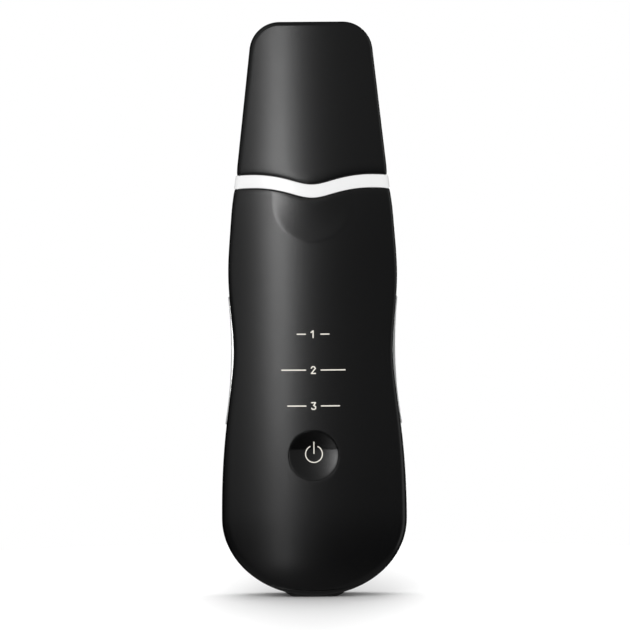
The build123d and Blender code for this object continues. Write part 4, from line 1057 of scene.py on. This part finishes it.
def backdrop_world():
    """The surroundings: white where the camera sees them, a soft dome for the shading, and in the
    gloss dark in front of the object and paler behind it."""
    world = bpy.data.worlds.new("studio")
    bpy.context.scene.world = world
    finish = Finish(world)
    camera, glossy, clear = finish.several(
        ("Is Camera Ray", "Is Glossy Ray", "Is Transmission Ray"), "ShaderNodeLightPath")
    x, y, z = finish.several("XYZ", "ShaderNodeSeparateXYZ", {
        0: finish.node("ShaderNodeTexCoord", output="Generated")})
    look = bpy.context.scene.scrubber_finish
    # Each pair is where a side of the room starts and where it is full, along its axis from -1 to 1
    table, window, corner, front, behind, down = (
        (-0.11, 0.08), (0.2, 0.55), (0.75, 0.97), (-0.05, 0.3), (0.86, 0.97), (0.45, 0.75))
    left = (x * -1.0).step(*window) * (1 - (x * -1.0).step(*corner))
    room = z.step(*table) * (look.room_front + left * look.room_left) + look.room_low
    room = (room * (1 - y.step(*front)) + y.step(*behind) * look.room_behind
            + (z * -1.0).step(*down) * look.room_table)
    seen = (camera + clear).math("MINIMUM", 1.0)
    dome = glossy * room + (1 - glossy) * look.dome
    background = finish.tree.nodes["Background"]
    background.inputs["Color"].default_value = (1.0, 1.0, 1.0, 1.0)
    finish.tree.links.new((seen + (1 - seen) * dome).socket, background.inputs["Strength"])
    world.cycles.sampling_method = "NONE"


def floor_finish():
    """A white floor that the lamps light. Where the camera looks at it, it is lifted more and more
    with the distance from the object, until it is all white."""
    finish = Finish(bpy.data.materials.new("studio_floor"))
    camera = finish.node("ShaderNodeLightPath", output="Is Camera Ray")
    side, front = finish.several("XY", "ShaderNodeSeparateXYZ", {0: finish.place()})
    lengthwise, clear = 0.15, 0.1  # how much distance to the front counts, and where all is white
    away = (side ** 2 + (front * lengthwise) ** 2) ** 0.5
    lifted = finish.blend(camera * away.step(0.0, clear), (0.0, 0.0, 0.0), (1.0, 1.0, 1.0))
    finish.shade(
        Base_Color=(0.82, 0.82, 0.82, 1.0), Roughness=0.9, Specular_IOR_Level=0.0,
        Emission_Color=lifted, Emission_Strength=1.0)
    return finish.owner


class SCRUBBER_OT_stage(Operator):
    """Studio: camera, white floor and surroundings, and soft lights"""

    bl_idname = "scrubber.stage"
    bl_label = "Studio"

    def execute(self, context):
        scene = context.scene
        scene.view_settings.view_transform = "Standard"
        backdrop_world()

        turn, rings = turns_of(96), np.linspace(0, 0.2, 5)[:, None]
        points, (faces,) = sheets(
            grid_of(rings * np.cos(turn), rings * np.sin(turn), 0.0), closed=(0,))
        mesh = bpy.data.meshes.new("studio_floor")
        mesh.from_pydata(points.tolist(), [], faces.tolist())
        mesh.materials.append(floor_finish())
        floor = bpy.data.objects.new("studio_floor", mesh)
        scene.collection.objects.link(floor)
        floor.visible_glossy = floor.visible_shadow = False

        key, face = (-0.112, -0.511), (-0.010, -0.011)
        for name, low, high, radiance in (
                ("key_high", 0.077, 0.285, 18.8), ("key_low", -0.28, 0.077, 3.4)):
            level = (low + high) / 2
            softbox(name, 0.037, high - low, (*key, level), (*face, level), radiance)
        chest, middle = (0.0, 0.0, 0.1), (0.0, 0.0, HIGH[2] * MM / 2)
        for name, width, height, place, aim, radiance, in_gloss in (
                ("key_back", 0.12, 0.9, (0.3, 1.4, 0.1), chest, 7.0, True),
                ("edge_right", 0.42, 1.2, (0.9, 0.05, 0.1), chest, 0.6, True),
                ("top", 1.4, 0.9, (0.0, 0.45, 1.5), middle, 2.8, False),
                ("top_front", 1.4, 0.9, (-0.35, -1.1, 1.2), middle, 1.6, False)):
            softbox(name, width, height, place, aim, radiance).visible_glossy = in_gloss

        distance, tall, rise, roll = 1.6, 0.1847, math.radians(2.0), math.radians(-0.43)
        aim = Vector((0.0006, 0.0, 0.0822))
        place = aim + distance * Vector((0.0, -math.cos(rise), math.sin(rise)))
        camera = bpy.data.cameras.new("camera")
        camera.lens = camera.sensor_width * distance / tall
        camera.clip_start, camera.clip_end = 0.1, 50.0
        scene.camera = aimed("camera", camera, place, aim, roll)
        return {"FINISHED"}


# ---- Add-on

PIECES = (
    SCRUBBER_OT_front_shell, SCRUBBER_OT_back_shell, SCRUBBER_OT_band, SCRUBBER_OT_cap,
    SCRUBBER_OT_button, SCRUBBER_OT_legends, SCRUBBER_OT_strips, SCRUBBER_OT_screw_plugs,
    SCRUBBER_OT_inner_parts, SCRUBBER_OT_stage,
)
GROUPS = {
    "scrubber_form": FormSizes, "scrubber_detail": DetailSizes, "scrubber_finish": FinishSettings}


class SCRUBBER_PT_build(Panel):
    """Builds the scrubber's pieces one after another"""

    bl_idname = "SCRUBBER_PT_build"
    bl_label = "Skin scrubber"
    bl_space_type = "VIEW_3D"
    bl_region_type = "UI"
    bl_category = "Scrubber"

    def draw(self, context):
        for name, group in GROUPS.items():
            box = self.layout.box()
            for field in group.__annotations__:
                box.prop(getattr(context.scene, name), field)
        for piece in PIECES:
            self.layout.operator(piece.bl_idname)


def register():
    """Registers the classes and hangs the settings on the scene."""
    for thing in (*GROUPS.values(), *PIECES, SCRUBBER_PT_build):
        bpy.utils.register_class(thing)
    for name, group in GROUPS.items():
        setattr(bpy.types.Scene, name, PointerProperty(type=group))


def unregister():
    """Takes the settings off the scene and the classes away."""
    for name in GROUPS:
        delattr(bpy.types.Scene, name)
    for thing in (SCRUBBER_PT_build, *reversed(PIECES), *GROUPS.values()):
        bpy.utils.unregister_class(thing)


def main():
    """Builds every piece and the studio."""
    register()
    for piece in PIECES:
        group, name = piece.bl_idname.split(".")
        getattr(getattr(bpy.ops, group), name)()


if __name__ == "__main__":
    main()
